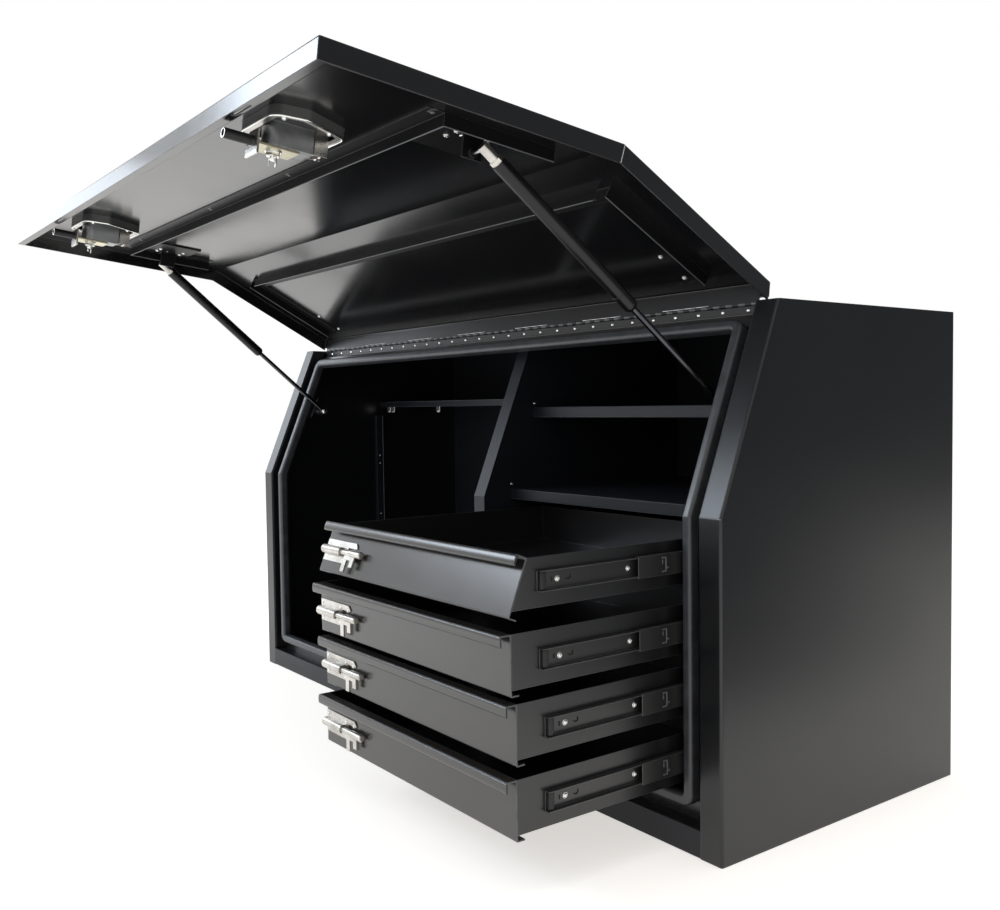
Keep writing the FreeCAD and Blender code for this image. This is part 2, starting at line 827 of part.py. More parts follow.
# Shaft, cam plate with its bent tab and the rubber sleeved arm
def make_lock_cam(centre_x):
    plate_near = lock_cup_depth + cam_plate_gap
    plate_far = plate_near + cam_plate_thickness
    shaft_near = lock_recess - handle_gap - handle_thickness
    shaft_top = plate_far + cam_nut_height
    shaft = Part.makeCylinder(
        lock_shaft_radius, shaft_top - lock_recess - handle_gap, Vector(centre_x, -shaft_drop, -shaft_top)
    )
    neck = box(
        centre_x - neck_width / 2.0, centre_x + neck_width / 2.0,
        -shaft_drop - neck_height / 2.0, -shaft_drop + neck_height / 2.0,
        -lock_recess - handle_gap - 1.0, -shaft_near,
    )
    pivot_z = -shaft_near - handle_thickness / 2.0
    pivot = Part.makeCylinder(
        pivot_radius, handle_stem, Vector(centre_x - handle_stem / 2.0, -shaft_drop, pivot_z), X_AXIS
    )
    half = cam_plate_width / 2.0
    plate = box(
        centre_x - half, centre_x + half, -shaft_drop - cam_arm_length, -shaft_drop + cam_plate_tail,
        -plate_far, -plate_near,
    )
    sleeve_depth = gutter_depth + sleeve_seal_gap + sleeve_radius
    tab = box(
        centre_x - half, centre_x + half,
        -shaft_drop - cam_arm_length - cam_plate_thickness, -shaft_drop - cam_arm_length,
        -sleeve_depth - cam_tab_foot, -sleeve_depth + cam_tab_depth,
    )
    axis_start = Vector(centre_x, -shaft_drop - cam_arm_length - cam_plate_thickness, -sleeve_depth)
    sleeve = Part.makeCylinder(sleeve_radius, sleeve_length, axis_start, Vector(0, -1, 0))
    bore_start = axis_start + Vector(0, sleeve_socket - sleeve_length, 0)
    sleeve = sleeve.cut(Part.makeCylinder(
        sleeve_radius - sleeve_wall, sleeve_socket + 1.0, bore_start, Vector(0, -1, 0)
    ))
    return opened(on_front(fuse([shaft, neck, pivot, plate, tab, sleeve])))


lock_cam_left = make_lock_cam(lock_centres[0])
lock_cam_right = make_lock_cam(lock_centres[1])


# Handle that folds into the recess: a stem with a cross bar
def make_lock_handle(centre_x):
    low = -lock_recess + handle_gap
    left = centre_x - handle_stem / 2.0
    right = centre_x + handle_stem / 2.0
    pivot_z = low + handle_thickness / 2.0
    stem = box(left, right, -shaft_drop, -shaft_drop + handle_reach, low, low + handle_thickness)
    end_round = Part.makeCylinder(
        handle_thickness / 2.0, handle_stem, Vector(left, -shaft_drop, pivot_z), X_AXIS
    )
    bar = box(
        centre_x - handle_bar / 2.0, centre_x + handle_bar / 2.0,
        -shaft_drop + handle_reach - handle_bar_width, -shaft_drop + handle_reach,
        low, low + handle_thickness,
    )
    pocket = box(
        centre_x - neck_width / 2.0 - handle_gap, centre_x + neck_width / 2.0 + handle_gap,
        -shaft_drop - handle_thickness, -shaft_drop + neck_height / 2.0 + 2 * handle_gap + pivot_radius,
        low - 1.0, low + handle_thickness + 1.0,
    )
    pivot_bore = Part.makeCylinder(
        pivot_radius + pivot_clearance, handle_stem + 2.0,
        Vector(left - 1.0, -shaft_drop, pivot_z), X_AXIS,
    )
    handle = fuse([stem, end_round, bar]).cut(pocket).cut(pivot_bore)
    outline = [
        edge for edge in handle.Edges
        if len(edge.Vertexes) == 2
        and abs(edge_ends(edge)[0].z - edge_ends(edge)[1].z) > handle_thickness * 0.9
        and edge_ends(edge)[0].y > -shaft_drop + handle_reach - handle_bar_width * 0.5
    ]
    handle = handle.makeFillet(handle_bar_width * 0.4, outline)
    return opened(on_front(handle))


lock_handle_left = make_lock_handle(lock_centres[0])
lock_handle_right = make_lock_handle(lock_centres[1])

# Channel bracket behind the cup, on the floor of each housing
clamp_solids = []
for lock_x in lock_centres:
    clamp_y = -shaft_drop + lock_cup_length + clamp_gap
    floor_back = lock_recess + lock_wall
    channel = box(
        lock_x - clamp_half, lock_x + clamp_half, clamp_y, clamp_y + clamp_length,
        -floor_back - clamp_rise, -floor_back,
    )
    slot = box(
        lock_x - clamp_half + stiffener_sheet, lock_x + clamp_half - stiffener_sheet,
        clamp_y + stiffener_sheet, clamp_y + clamp_length + 1,
        -floor_back - clamp_rise - 1, -floor_back - stiffener_sheet,
    )
    clamp_solids.append(opened(on_front(channel.cut(slot))))
lock_clamps = group(clamp_solids)


# Folded angles that stiffen the lid, in the local axes of a face
def angle_along(x0, x1, y0, y1, upstand_low):
    base = box(x0, x1, y0, y1, -lid_sheet - stiffener_sheet, -lid_sheet)
    edge = y0 if upstand_low else y1 - stiffener_sheet
    upstand = box(x0, x1, edge, edge + stiffener_sheet, -lid_sheet - stiffener_height, -lid_sheet)
    return fuse([base, upstand])


def angle_across(x0, x1, y0, y1, upstand_left):
    base = box(x0, x1, y0, y1, -lid_sheet - stiffener_sheet, -lid_sheet)
    edge = x0 if upstand_left else x1 - stiffener_sheet
    upstand = box(edge, edge + stiffener_sheet, y0, y1, -lid_sheet - stiffener_height, -lid_sheet)
    return fuse([base, upstand])


front_bar = angle_along(
    front_bar_inset, cabinet_width - front_bar_inset,
    -front_bar_drop - stiffener_width, -front_bar_drop, False,
)
front_leg = angle_across(
    front_bar_inset, front_bar_inset + stiffener_width, -front_bar_drop, -front_leg_top, True
)
lid_stiffener_front = group([
    opened(on_front(front_bar)), opened(on_front(front_leg)), opened(on_front(mirrored(front_leg)))
])
slant_bar_top = slant_bar_rise + stiffener_width
slant_bar = angle_along(
    slant_bar_inset, cabinet_width - slant_bar_inset, slant_bar_rise, slant_bar_top, True
)
slant_leg_low = slant_bar_rise
slant_leg = angle_across(
    slant_bar_inset - stiffener_width, slant_bar_inset, slant_leg_low,
    slant_length - slant_leg_end, True,
)
lid_stiffener_slant = group([
    opened(on_slant(slant_bar)), opened(on_slant(slant_leg)), opened(on_slant(mirrored(slant_leg)))
])


# Gas strut mounts on the lid: a plate, an ear and a ball stud
def make_upper_bracket():
    ball_x = strut_lid_inset
    ear_x = ball_x + strut_ear_offset
    half = strut_plate_height / 2.0
    plate = box(
        ear_x, ear_x + strut_plate_width, -strut_lid_drop - half, -strut_lid_drop + half,
        -lid_sheet - strut_bracket, -lid_sheet,
    )
    ear = box(
        ear_x, ear_x + strut_bracket, -strut_lid_drop - strut_ear_width / 2.0,
        -strut_lid_drop + strut_ear_width / 2.0, -strut_lid_depth - strut_socket_radius, -lid_sheet,
    )
    bracket = fuse([plate, ear])
    ball_centre = Vector(ball_x, -strut_lid_drop, -strut_lid_depth)
    stud = Part.makeCylinder(ball_stud_radius, ear_x - ball_x, ball_centre, X_AXIS)
    collar_start = ball_centre + Vector(strut_ear_offset - ball_collar_length, 0, 0)
    collar = Part.makeCylinder(ball_collar_radius, ball_collar_length, collar_start, X_AXIS)
    ball = Part.makeSphere(strut_ball_radius, ball_centre, X_AXIS)
    return fuse([bracket, stud, collar, ball])


upper_bracket = make_upper_bracket()
strut_upper_brackets = group([
    opened(on_front(upper_bracket)), opened(on_front(mirrored(upper_bracket)))
])

upper_ball = opened_point(strut_lid_inset, strut_lid_depth, bend_height - strut_lid_drop)
strut_wall_rise = slant_length - strut_wall_drop
lower_ball = Vector(strut_wall_inset, *slant_point(strut_wall_rise, strut_wall_depth))
strut_vector = lower_ball - upper_ball
strut_length = strut_vector.Length
strut_direction = Vector(strut_vector).normalize()


# Gas strut: socket, threaded sleeve and tube on the lid side, rod and eye on the wall side
def along(distance):
    return upper_ball + Vector(strut_direction).multiply(distance)


tube_start = strut_socket_length
tube_end = tube_start + strut_tube_length
rod_start = tube_end - strut_rod_overlap
socket = Part.makeCylinder(
    strut_socket_radius, strut_socket_length + socket_back, along(-socket_back), strut_direction
)
ball_space = Part.makeSphere(strut_ball_radius + strut_ball_gap, upper_ball, X_AXIS)
stud_space = Part.makeCylinder(
    ball_stud_radius + ball_stud_gap, strut_ear_offset, upper_ball, X_AXIS
)
ball_space = ball_space.fuse(stud_space)
tube = Part.makeCylinder(strut_tube_radius, strut_tube_length, along(tube_start), strut_direction)
bore_start = rod_start - strut_stroke - strut_bore_end
rod_bore = Part.makeCylinder(
    strut_rod_radius + strut_rod_gap, tube_end - bore_start + strut_bore_end,
    along(bore_start), strut_direction,
)
strut_cylinder_left = fuse([socket, tube]).cut(ball_space).cut(rod_bore)
rod = Part.makeCylinder(
    strut_rod_radius, strut_length - rod_start, along(rod_start), strut_direction
)
eye = cylinder_x(
    lower_ball.x - strut_end_width / 2.0, lower_ball.x + strut_end_width / 2.0,
    lower_ball.y, lower_ball.z, strut_end_radius,
)
strut_rod_left = fuse([rod, eye])
strut_cylinder_right = mirrored(strut_cylinder_left)
strut_rod_right = mirrored(strut_rod_left)


# Wall brackets for the lower ends, fixed behind the gutter
def make_lower_bracket():
    rise = strut_wall_rise
    depth = strut_wall_depth
    eye_left = strut_wall_inset - strut_end_width / 2.0
    ear_right = eye_left - lower_ear_gap
    ear_left = ear_right - strut_bracket
    plate = box(
        face_width + lower_plate_gap, ear_right, rise - lower_plate_half, rise + lower_plate_half,
        -gutter_depth - strut_bracket, -gutter_depth,
    )
    ear = box(
        ear_left, ear_right, rise - lower_ear_half, rise + lower_ear_half,
        -depth - lower_ear_reach, -gutter_depth,
    )
    stud_length = eye_left - strut_end_gap - ear_left
    stud = Part.makeCylinder(strut_stud_radius, stud_length, Vector(ear_left, rise, -depth), X_AXIS)
    return on_slant(fuse([plate, ear, stud]))


lower_bracket = make_lower_bracket()
strut_lower_brackets = group([lower_bracket, mirrored(lower_bracket)])


# C sections of the telescopic slides; side is +1 for the right of the bay
def slide_section(wall_x, side, near, web, reach, half_height, y0, y1, centre_z, web_far):
    def across(a, b, z0, z1):
        xa = wall_x - side * a
        xb = wall_x - side * b
        return box(min(xa, xb), max(xa, xb), y0, y1, z0, z1)

    low = centre_z - half_height
    high = centre_z + half_height
    if web_far:
        web_box = across(reach - web, reach, low, high)
    else:
        web_box = across(near, near + web, low, high)
    lower = across(near, reach, low, low + web)
    upper = across(near, reach, high - web, high)
    return fuse([web_box, lower, upper])


outer_half = slide_height / 2.0
slide_outer_end = inner_back - slide_back_gap
middle_half = outer_half - slide_sheet - slide_side_gap
inner_half = middle_half - slide_sheet - slide_side_gap
outer_solids = []
slide_inner_parts = []
slide_middle_parts = []
for index in range(drawer_count):
    slide_z = drawer_bottoms[index] + slide_rise
    pull = drawer_pulls[index]
    inner_near = 2 * slide_gap + 2 * slide_sheet
    inner_y = drawer_setback + slide_inner_setback - pull
    middle_y = slide_middle_start - pull / 2.0
    inner_pair = []
    middle_pair = []
    for wall_x, side in ((divider_face, -1), (bay_right, 1)):
        outer_solids.append(slide_section(
            wall_x, side, 0.0, slide_sheet, slide_outer_reach, outer_half,
            slide_outer_start, slide_outer_end, slide_z, False,
        ))
        middle_pair.append(slide_section(
            wall_x, side, slide_sheet + slide_gap, slide_sheet, slide_middle_reach,
            middle_half, middle_y, middle_y + slide_middle_length, slide_z, False,
        ))
        inner_pair.append(slide_section(
            wall_x, side, inner_near, slide_sheet, slide_thickness, inner_half,
            inner_y, inner_y + slide_inner_length, slide_z, True,
        ))
    slide_inner_parts.append(group(inner_pair))
    slide_middle_parts.append(group(middle_pair))
slide_outer_members = group(outer_solids)


# Drawer front with a lip folded out and down along its top and a return at its foot
def make_drawer_front(index):
    plane = front_planes[index]
    front_y = drawer_setback - drawer_pulls[index]
    bottom = drawer_bottoms[index]
    sheet = drawer_front_sheet
    panel = box(tray_left, tray_right, 0, drawer_height, -sheet, 0)
    top_fold = box(
        tray_left, tray_right, drawer_height - sheet, drawer_height, -sheet, lip_out
    )
    lip = box(
        tray_left, tray_right, drawer_height - lip_down, drawer_height, lip_out - sheet, lip_out
    )
    foot = box(tray_left, tray_right, 0, sheet, -front_return, 0)
    front = fuse([panel, top_fold, lip, foot])

    def fold(edge):
        ends = edge_ends(edge)
        top_line = all(abs(p.y - drawer_height) < 0.01 and abs(p.z - lip_out) < 0.01 for p in ends)
        foot_line = all(abs(p.y) < 0.01 and abs(p.z) < 0.01 for p in ends)
        hem_line = all(
            abs(p.y - drawer_height + lip_down) < 0.01 and abs(p.z - lip_out) < 0.01 for p in ends
        )
        return len(ends) == 2 and (top_line or foot_line or hem_line)

    front = fillet_edges(front, sheet * nose_share, fold)
    return plane(front, front_y, bottom)


# Drawer tray: bottom, two sides with a folded rim, and a back
def make_drawer_tray(index):
    leaning = front_planes[index] is on_slant
    lean = slant_angle if leaning else 0.0
    front_y = drawer_setback - drawer_pulls[index]
    bottom = drawer_bottoms[index] + tray_rise
    height = drawer_height * math.cos(lean) - tray_rise
    back = drawer_setback - drawer_pulls[index] + drawer_tray_depth
    inner_face = drawer_front_sheet / math.cos(lean)

    def front_at(z):
        return front_y + inner_face + (z - drawer_bottoms[index]) * math.tan(lean)

    top = bottom + height - drawer_front_sheet * math.sin(lean)
    outline = [
        (front_at(bottom), bottom), (front_at(top), top), (back, top), (back, bottom)
    ]
    shell = profile_x(outline, tray_left, tray_right)
    space = [
        (front_at(bottom) - 5.0, bottom + drawer_sheet),
        (front_at(top) - 5.0, bottom + drawer_sheet),
        (front_at(top) - 5.0, top + 1.0),
        (back - drawer_sheet, top + 1.0),
        (back - drawer_sheet, bottom + drawer_sheet),
    ]
    if leaning:
        space = [
            (front_at(bottom) - 5.0, bottom + drawer_sheet),
            (front_at(top) - 5.0, top + 1.0),
            (back - drawer_sheet, top + 1.0),
            (back - drawer_sheet, bottom + drawer_sheet),
        ]
    hollow = profile_x(space, tray_left + drawer_sheet, tray_right - drawer_sheet)
    return shell.cut(hollow)


# Bolt latch: a barrel on a notched plate, and a bolt with a knob and a two fingered pull
def make_latch(index):
    plane = front_planes[index]
    front_y = drawer_setback - drawer_pulls[index]
    bottom = drawer_bottoms[index]
    left = tray_left + latch_inset
    right = left + latch_length
    mid = latch_rise
    half = latch_height / 2.0
    plate = box(left, right, mid - half, mid + half, 0, latch_plate)
    notch = box(
        right - latch_notch, right + 1, mid - half - 1, mid + latch_notch_rise, -1, latch_plate + 1
    )
    corners = [
        edge for edge in plate.Edges
        if abs(edge_ends(edge)[0].z - edge_ends(edge)[1].z) > latch_plate * 0.9
        and edge_ends(edge)[0].x > right - 1 and edge_ends(edge)[0].y > mid
    ]
    plate = plate.makeChamfer(latch_corner, corners).cut(notch)
    barrel_left = left + latch_barrel_start
    barrel_right = barrel_left + latch_barrel_length
    barrel = Part.makeCylinder(
        latch_barrel_radius, latch_barrel_length, Vector(barrel_left, mid, latch_axis), X_AXIS
    )
    foot = box(
        barrel_left, barrel_right, mid - latch_barrel_radius, mid + latch_barrel_radius,
        latch_plate, latch_axis,
    )
    bore = Part.makeCylinder(
        latch_bolt_radius + latch_bore_gap, latch_length + 2, Vector(left - 1, mid, latch_axis), X_AXIS
    )
    knob_start = right - latch_notch + latch_bolt_throw + latch_knob_gap
    pull_right = knob_start + latch_knob_length / 2.0
    pull_left = pull_right - latch_pull_length
    slot = box(
        pull_left - latch_bolt_throw - latch_pull_gap, barrel_right + 1,
        mid - latch_barrel_radius - 1, mid,
        latch_axis - latch_pull_thickness / 2.0 - latch_pull_gap,
        latch_axis + latch_pull_thickness / 2.0 + latch_pull_gap,
    )
    body = fuse([plate, foot, barrel]).cut(bore).cut(slot)
    bolt = Part.makeCylinder(
        latch_bolt_radius, knob_start + 1.0 - left, Vector(left, mid, latch_axis), X_AXIS
    )
    knob = Part.makeCylinder(
        latch_knob_radius, latch_knob_length, Vector(knob_start, mid, latch_axis), X_AXIS
    )
    rims = [edge for edge in knob.Edges if edge.isClosed()]
    knob = knob.makeFillet(latch_knob_round, rims)
    pull_back = latch_axis - latch_pull_thickness / 2.0
    pull_front = latch_axis + latch_pull_thickness / 2.0
    web = box(pull_left, pull_right, mid - latch_pull_depth, mid, pull_back, pull_front)
    long_finger = box(
        pull_left, pull_left + latch_finger_width, mid - latch_finger_reach, mid, pull_back, pull_front
    )
    short_finger = box(
        pull_right - latch_finger_width, pull_right, mid - latch_short_reach, mid, pull_back, pull_front
    )
    bolt = fuse([bolt, knob, web, long_finger, short_finger])
    return plane(body, front_y, bottom), plane(bolt, front_y, bottom)


drawer_nodes = {}
for index in range(drawer_count):
    name = "drawer_" + str(index + 1)
    body, bolt = make_latch(index)
    drawer_nodes[name + "_tray"] = make_drawer_tray(index)
    drawer_nodes[name + "_front"] = make_drawer_front(index)
    drawer_nodes[name + "_slide_inner"] = slide_inner_parts[index]
    drawer_nodes[name + "_slide_middle"] = slide_middle_parts[index]
    drawer_nodes[name + "_latch_body"] = body
    drawer_nodes[name + "_latch_bolt"] = bolt

# Write every piece with the origin at the centre of the base
nodes = {
    "side_panel_left": side_panel_left,
    "side_panel_right": side_panel_right,
    "back_panel": back_panel,
    "floor_panel": floor_panel,
    "top_panel": top_panel,
    "gutter_left": gutter_left,
    "gutter_right": gutter_right,
    "gutter_bottom": gutter_bottom,
    "gutter_top": gutter_top,
    "door_seal": door_seal,
    "divider_panel": divider_panel,
    "drawer_bay_panel": drawer_bay_panel,
    "shelf_right_upper": shelf_right_upper,
    "shelf_right_lower": shelf_right_lower,
    "shelf_left": shelf_left,
    "shelf_brackets": shelf_brackets,
    "hinge_fixed_leaf": hinge_fixed_leaf,
    "hinge_pin": hinge_pin,
    "strut_lower_brackets": strut_lower_brackets,
    "slide_outer_members": slide_outer_members,
    "lid_skin": lid_skin,
    "lid_stiffener_front": lid_stiffener_front,
    "lid_stiffener_slant": lid_stiffener_slant,
    "hinge_moving_leaf": hinge_moving_leaf,
    "strut_upper_brackets": strut_upper_brackets,
    "lock_housing_left": lock_housing_left,
    "lock_housing_right": lock_housing_right,
    "lock_clamps": lock_clamps,
    "lock_cam_left": lock_cam_left,
    "lock_cam_right": lock_cam_right,
    "lock_handle_left": lock_handle_left,
    "lock_handle_right": lock_handle_right,
    "strut_cylinder_left": strut_cylinder_left,
    "strut_cylinder_right": strut_cylinder_right,
    "strut_rod_left": strut_rod_left,
    "strut_rod_right": strut_rod_right,
}
nodes.update(drawer_nodes)
origin_shift = Vector(-cabinet_width / 2.0, -cabinet_depth / 2.0, 0)
os.makedirs("parts", exist_ok=True)
for node_name, shape in nodes.items():
    placed = shape.copy()
    placed.translate(origin_shift)
    print(node_name, len(placed.Solids), placed.isValid(), round(placed.Volume))
    placed.exportStep("parts/" + node_name + ".step")
print("nodes", len(nodes))
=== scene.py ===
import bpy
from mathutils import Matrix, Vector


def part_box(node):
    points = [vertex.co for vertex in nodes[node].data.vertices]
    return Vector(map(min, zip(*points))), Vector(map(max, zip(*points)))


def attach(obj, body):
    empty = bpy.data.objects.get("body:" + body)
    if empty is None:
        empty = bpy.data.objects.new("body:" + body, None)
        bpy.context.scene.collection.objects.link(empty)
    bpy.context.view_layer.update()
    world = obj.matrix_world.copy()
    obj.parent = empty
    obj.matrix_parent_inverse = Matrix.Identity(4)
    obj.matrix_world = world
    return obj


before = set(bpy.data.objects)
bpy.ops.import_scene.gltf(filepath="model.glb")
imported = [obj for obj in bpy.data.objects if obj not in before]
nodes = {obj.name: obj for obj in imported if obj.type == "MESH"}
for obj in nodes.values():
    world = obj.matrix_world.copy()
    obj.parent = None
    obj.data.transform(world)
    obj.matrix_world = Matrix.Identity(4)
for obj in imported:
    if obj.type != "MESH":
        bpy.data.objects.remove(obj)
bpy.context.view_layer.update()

import math
import bmesh
import bpy
from mathutils import Matrix, Vector

# The CAD frame has its origin at the centre of the base; sizes below are in millimetres
WIDTH = 1550.0
DEPTH = 600.0
HEIGHT = 815.0
MM = 1000.0
BEND = 498.4
SETBACK = 127.3
SLANT = math.atan2(SETBACK, HEIGHT - BEND)
HINGE = (0.0, 159.0, 814.5)
OPEN_ANGLE = math.radians(-96.8)


def metres(x, y, z):
    return Vector(((x - WIDTH / 2) / MM, (y - DEPTH / 2) / MM, z / MM))


# Materials
def new_material(name):
    mat = bpy.data.materials.new(name)
    mat.use_nodes = True
    tree = mat.node_tree
    tree.nodes.clear()
    out = tree.nodes.new("ShaderNodeOutputMaterial")
    shader = tree.nodes.new("ShaderNodeBsdfPrincipled")
    tree.links.new(shader.outputs["BSDF"], out.inputs["Surface"])
    return mat, tree, shader


def coords(tree, scale=(1, 1, 1)):
    tex = tree.nodes.new("ShaderNodeTexCoord")
    mapping = tree.nodes.new("ShaderNodeMapping")
    mapping.inputs["Scale"].default_value = scale
    tree.links.new(tex.outputs["Object"], mapping.inputs["Vector"])
    return mapping.outputs["Vector"]


def noise(tree, vector, scale, detail=3.0, rough=0.5):
    node = tree.nodes.new("ShaderNodeTexNoise")
    node.inputs["Scale"].default_value = scale
    node.inputs["Detail"].default_value = detail
    node.inputs["Roughness"].default_value = rough
    tree.links.new(vector, node.inputs["Vector"])
    return node.outputs["Fac"]


def ramp(tree, fac, stops):
    node = tree.nodes.new("ShaderNodeValToRGB")
    elements = node.color_ramp.elements
    while len(elements) < len(stops):
        elements.new(0.5)
    for element, (place, colour) in zip(elements, stops):
        element.position = place
        element.color = (*colour, 1.0)
    tree.links.new(fac, node.inputs["Fac"])
    return node.outputs["Color"]


def remap(tree, fac, low, high, from_low=0.3, from_high=0.7):
    node = tree.nodes.new("ShaderNodeMapRange")
    node.inputs["From Min"].default_value = from_low
    node.inputs["From Max"].default_value = from_high
    node.inputs["To Min"].default_value = low
    node.inputs["To Max"].default_value = high
    tree.links.new(fac, node.inputs["Value"])
    return node.outputs["Result"]


def bump(tree, height, strength, distance, normal=None):
    node = tree.nodes.new("ShaderNodeBump")
    node.inputs["Strength"].default_value = strength
    node.inputs["Distance"].default_value = distance
    tree.links.new(height, node.inputs["Height"])
    if normal is not None:
        tree.links.new(normal, node.inputs["Normal"])
    return node.outputs["Normal"]


def rounded_normal(tree, radius):
    bevel = tree.nodes.new("ShaderNodeBevel")
    bevel.samples = 6
    bevel.inputs["Radius"].default_value = radius
    return bevel.outputs["Normal"]


def edge_mask(tree, rounded, low=0.02, high=0.25):
    geometry = tree.nodes.new("ShaderNodeNewGeometry")
    dot = tree.nodes.new("ShaderNodeVectorMath")
    dot.operation = "DOT_PRODUCT"
    tree.links.new(rounded, dot.inputs[0])
    tree.links.new(geometry.outputs["Normal"], dot.inputs[1])
    flip = tree.nodes.new("ShaderNodeMath")
    flip.operation = "SUBTRACT"
    flip.inputs[0].default_value = 1.0
    tree.links.new(dot.outputs["Value"], flip.inputs[1])
    return remap(tree, flip.outputs[0], 0.0, 1.0, low, high)


# Powder coat: fine orange peel, faint cloudiness, and a painted highlight along folds and edges,
# broken up by noise
def powder_coat(
    name, dark, light, rough, highlight_colour, peel=0.12, edge_highlight=0.5, gloss=0.9, fold=0.0012
):
    mat, tree, shader = new_material(name)
    vector = coords(tree)
    cloud = noise(tree, vector, 3.5, 4.0, 0.55)
    base = ramp(tree, cloud, [(0.3, dark), (0.7, light)])
    rounded = rounded_normal(tree, fold)
    # The bevel mask paints a lighter colour along edges and folds as a painted highlight
    edge_highlight_mask = edge_mask(tree, rounded)
    highlight_breakup = noise(tree, vector, 60.0, 3.0, 0.7)
    highlight_amount = tree.nodes.new("ShaderNodeMath")
    highlight_amount.operation = "MULTIPLY"
    tree.links.new(edge_highlight_mask, highlight_amount.inputs[0])
    tree.links.new(remap(tree, highlight_breakup, edge_highlight * 0.5, edge_highlight, 0.35, 0.65), highlight_amount.inputs[1])
    mix = tree.nodes.new("ShaderNodeMix")
    mix.data_type = "RGBA"
    tree.links.new(highlight_amount.outputs[0], mix.inputs["Factor"])
    tree.links.new(base, mix.inputs["A"])
    mix.inputs["B"].default_value = (*highlight_colour, 1.0)
    tree.links.new(mix.outputs["Result"], shader.inputs["Base Color"])
    smear = noise(tree, coords(tree, (1.0, 1.0, 2.0)), 5.0, 4.0, 0.6)
    tree.links.new(remap(tree, smear, rough - 0.02, rough + 0.03), shader.inputs["Roughness"])
    fine = noise(tree, vector, 420.0, 2.0, 0.5)
    tree.links.new(bump(tree, fine, peel, 0.0004, rounded), shader.inputs["Normal"])
    shader.inputs["Specular IOR Level"].default_value = gloss
    return mat


# Plated or machined metal with fine directional scratches
def bright_metal(name, colour, second, rough, scratch_scale=(1, 60, 60), scratch=0.15):
    mat, tree, shader = new_material(name)
    vector = coords(tree)
    tone = noise(tree, vector, 25.0, 4.0, 0.6)
    tree.links.new(ramp(tree, tone, [(0.3, second), (0.65, colour)]), shader.inputs["Base Color"])
    shader.inputs["Metallic"].default_value = 1.0
    lines = noise(tree, coords(tree, scratch_scale), 14.0, 5.0, 0.65)
    tree.links.new(remap(tree, lines, rough - 0.07, rough + 0.1), shader.inputs["Roughness"])
    rounded = rounded_normal(tree, 0.0006)
    tree.links.new(bump(tree, lines, scratch, 0.0002, rounded), shader.inputs["Normal"])
    return mat


# Rubber with a dusty tone and a softly rounded edge
def rubber(name, dark, light, rough, gloss):
    mat, tree, shader = new_material(name)
    vector = coords(tree)
    dust = noise(tree, vector, 40.0, 5.0, 0.6)
    tree.links.new(ramp(tree, dust, [(0.35, dark), (0.75, light)]), shader.inputs["Base Color"])
    tree.links.new(remap(tree, dust, rough - 0.04, rough + 0.1), shader.inputs["Roughness"])
    fine = noise(tree, vector, 900.0, 2.0, 0.5)
    rounded = rounded_normal(tree, 0.004)
    tree.links.new(bump(tree, fine, 0.1, 0.0002, rounded), shader.inputs["Normal"])
    shader.inputs["Specular IOR Level"].default_value = gloss
    return mat


# Each coat's last colour is its painted highlight along edges and folds
BODY = powder_coat(
    "body_powder_coat", (0.007, 0.007, 0.009), (0.010, 0.010, 0.012), 0.26, (0.09, 0.09, 0.10),
)
SIDE = powder_coat(
    "side_powder_coat", (0.006, 0.0065, 0.008), (0.009, 0.0095, 0.011), 0.3, (0.05, 0.05, 0.06),
    peel=0.08, edge_highlight=0.3, gloss=0.58, fold=0.004,
)
INSIDE = powder_coat(
    "inside_powder_coat", (0.014, 0.016, 0.021), (0.020, 0.022, 0.028), 0.42, (0.16, 0.17, 0.19),
    edge_highlight=0.9, gloss=0.3,
)
LID_IN = powder_coat(
    "lid_powder_coat", (0.008, 0.008, 0.009), (0.011, 0.011, 0.012), 0.16, (0.16, 0.16, 0.17),
    peel=0.05, fold=0.002,
)
STIFFENER = powder_coat(
    "stiffener_powder_coat", (0.006, 0.006, 0.007), (0.009, 0.009, 0.010), 0.42, (0.3, 0.3, 0.3),
    peel=0.06, edge_highlight=0.9, gloss=0.22,
)
DRAWER = powder_coat(
    "drawer_powder_coat", (0.022, 0.0195, 0.017), (0.030, 0.027, 0.024), 0.22, (0.30, 0.32, 0.37),
    peel=0.06, edge_highlight=0.9, gloss=0.85, fold=0.003,
)
TRAY = powder_coat(
    "tray_powder_coat", (0.009, 0.009, 0.010), (0.013, 0.013, 0.014), 0.3, (0.2, 0.21, 0.23),
    edge_highlight=0.9, gloss=0.7,
)
SEAL = rubber("seal_rubber", (0.035, 0.037, 0.042), (0.070, 0.073, 0.080), 0.36, 0.7)
BLACK_RUBBER = rubber("black_rubber", (0.006, 0.006, 0.007), (0.02, 0.02, 0.021), 0.45, 0.5)
ZINC = bright_metal("zinc_plate", (0.64, 0.62, 0.58), (0.42, 0.40, 0.37), 0.28)
BRIGHT = bright_metal(
    "bright_steel", (0.88, 0.88, 0.86), (0.74, 0.74, 0.72), 0.22, (60, 60, 60), 0.1,
)
YELLOW_ZINC = bright_metal("yellow_zinc", (0.74, 0.70, 0.52), (0.56, 0.52, 0.38), 0.36)
CAST = bright_metal("cast_alloy", (0.42, 0.43, 0.44), (0.30, 0.31, 0.32), 0.40, (40, 40, 40), 0.3)
STEEL = powder_coat(
    "slide_steel", (0.020, 0.020, 0.020), (0.030, 0.029, 0.028), 0.30, (0.30, 0.30, 0.31),
    peel=0.03, edge_highlight=0.9, gloss=0.7,
)
HINGE_METAL = powder_coat(
    "hinge_metal", (0.010, 0.010, 0.011), (0.016, 0.016, 0.017), 0.34, (0.3, 0.3, 0.32),
    peel=0.04, edge_highlight=0.9, gloss=0.45,
)
ROD = bright_metal("strut_rod", (0.10, 0.10, 0.11), (0.07, 0.07, 0.08), 0.2, (1, 1, 1), 0.02)
LOCK_BLACK = powder_coat(
    "lock_black", (0.006, 0.006, 0.006), (0.010, 0.010, 0.010), 0.4, (0.4, 0.4, 0.39),
    peel=0.05, edge_highlight=0.8, gloss=0.4,
)
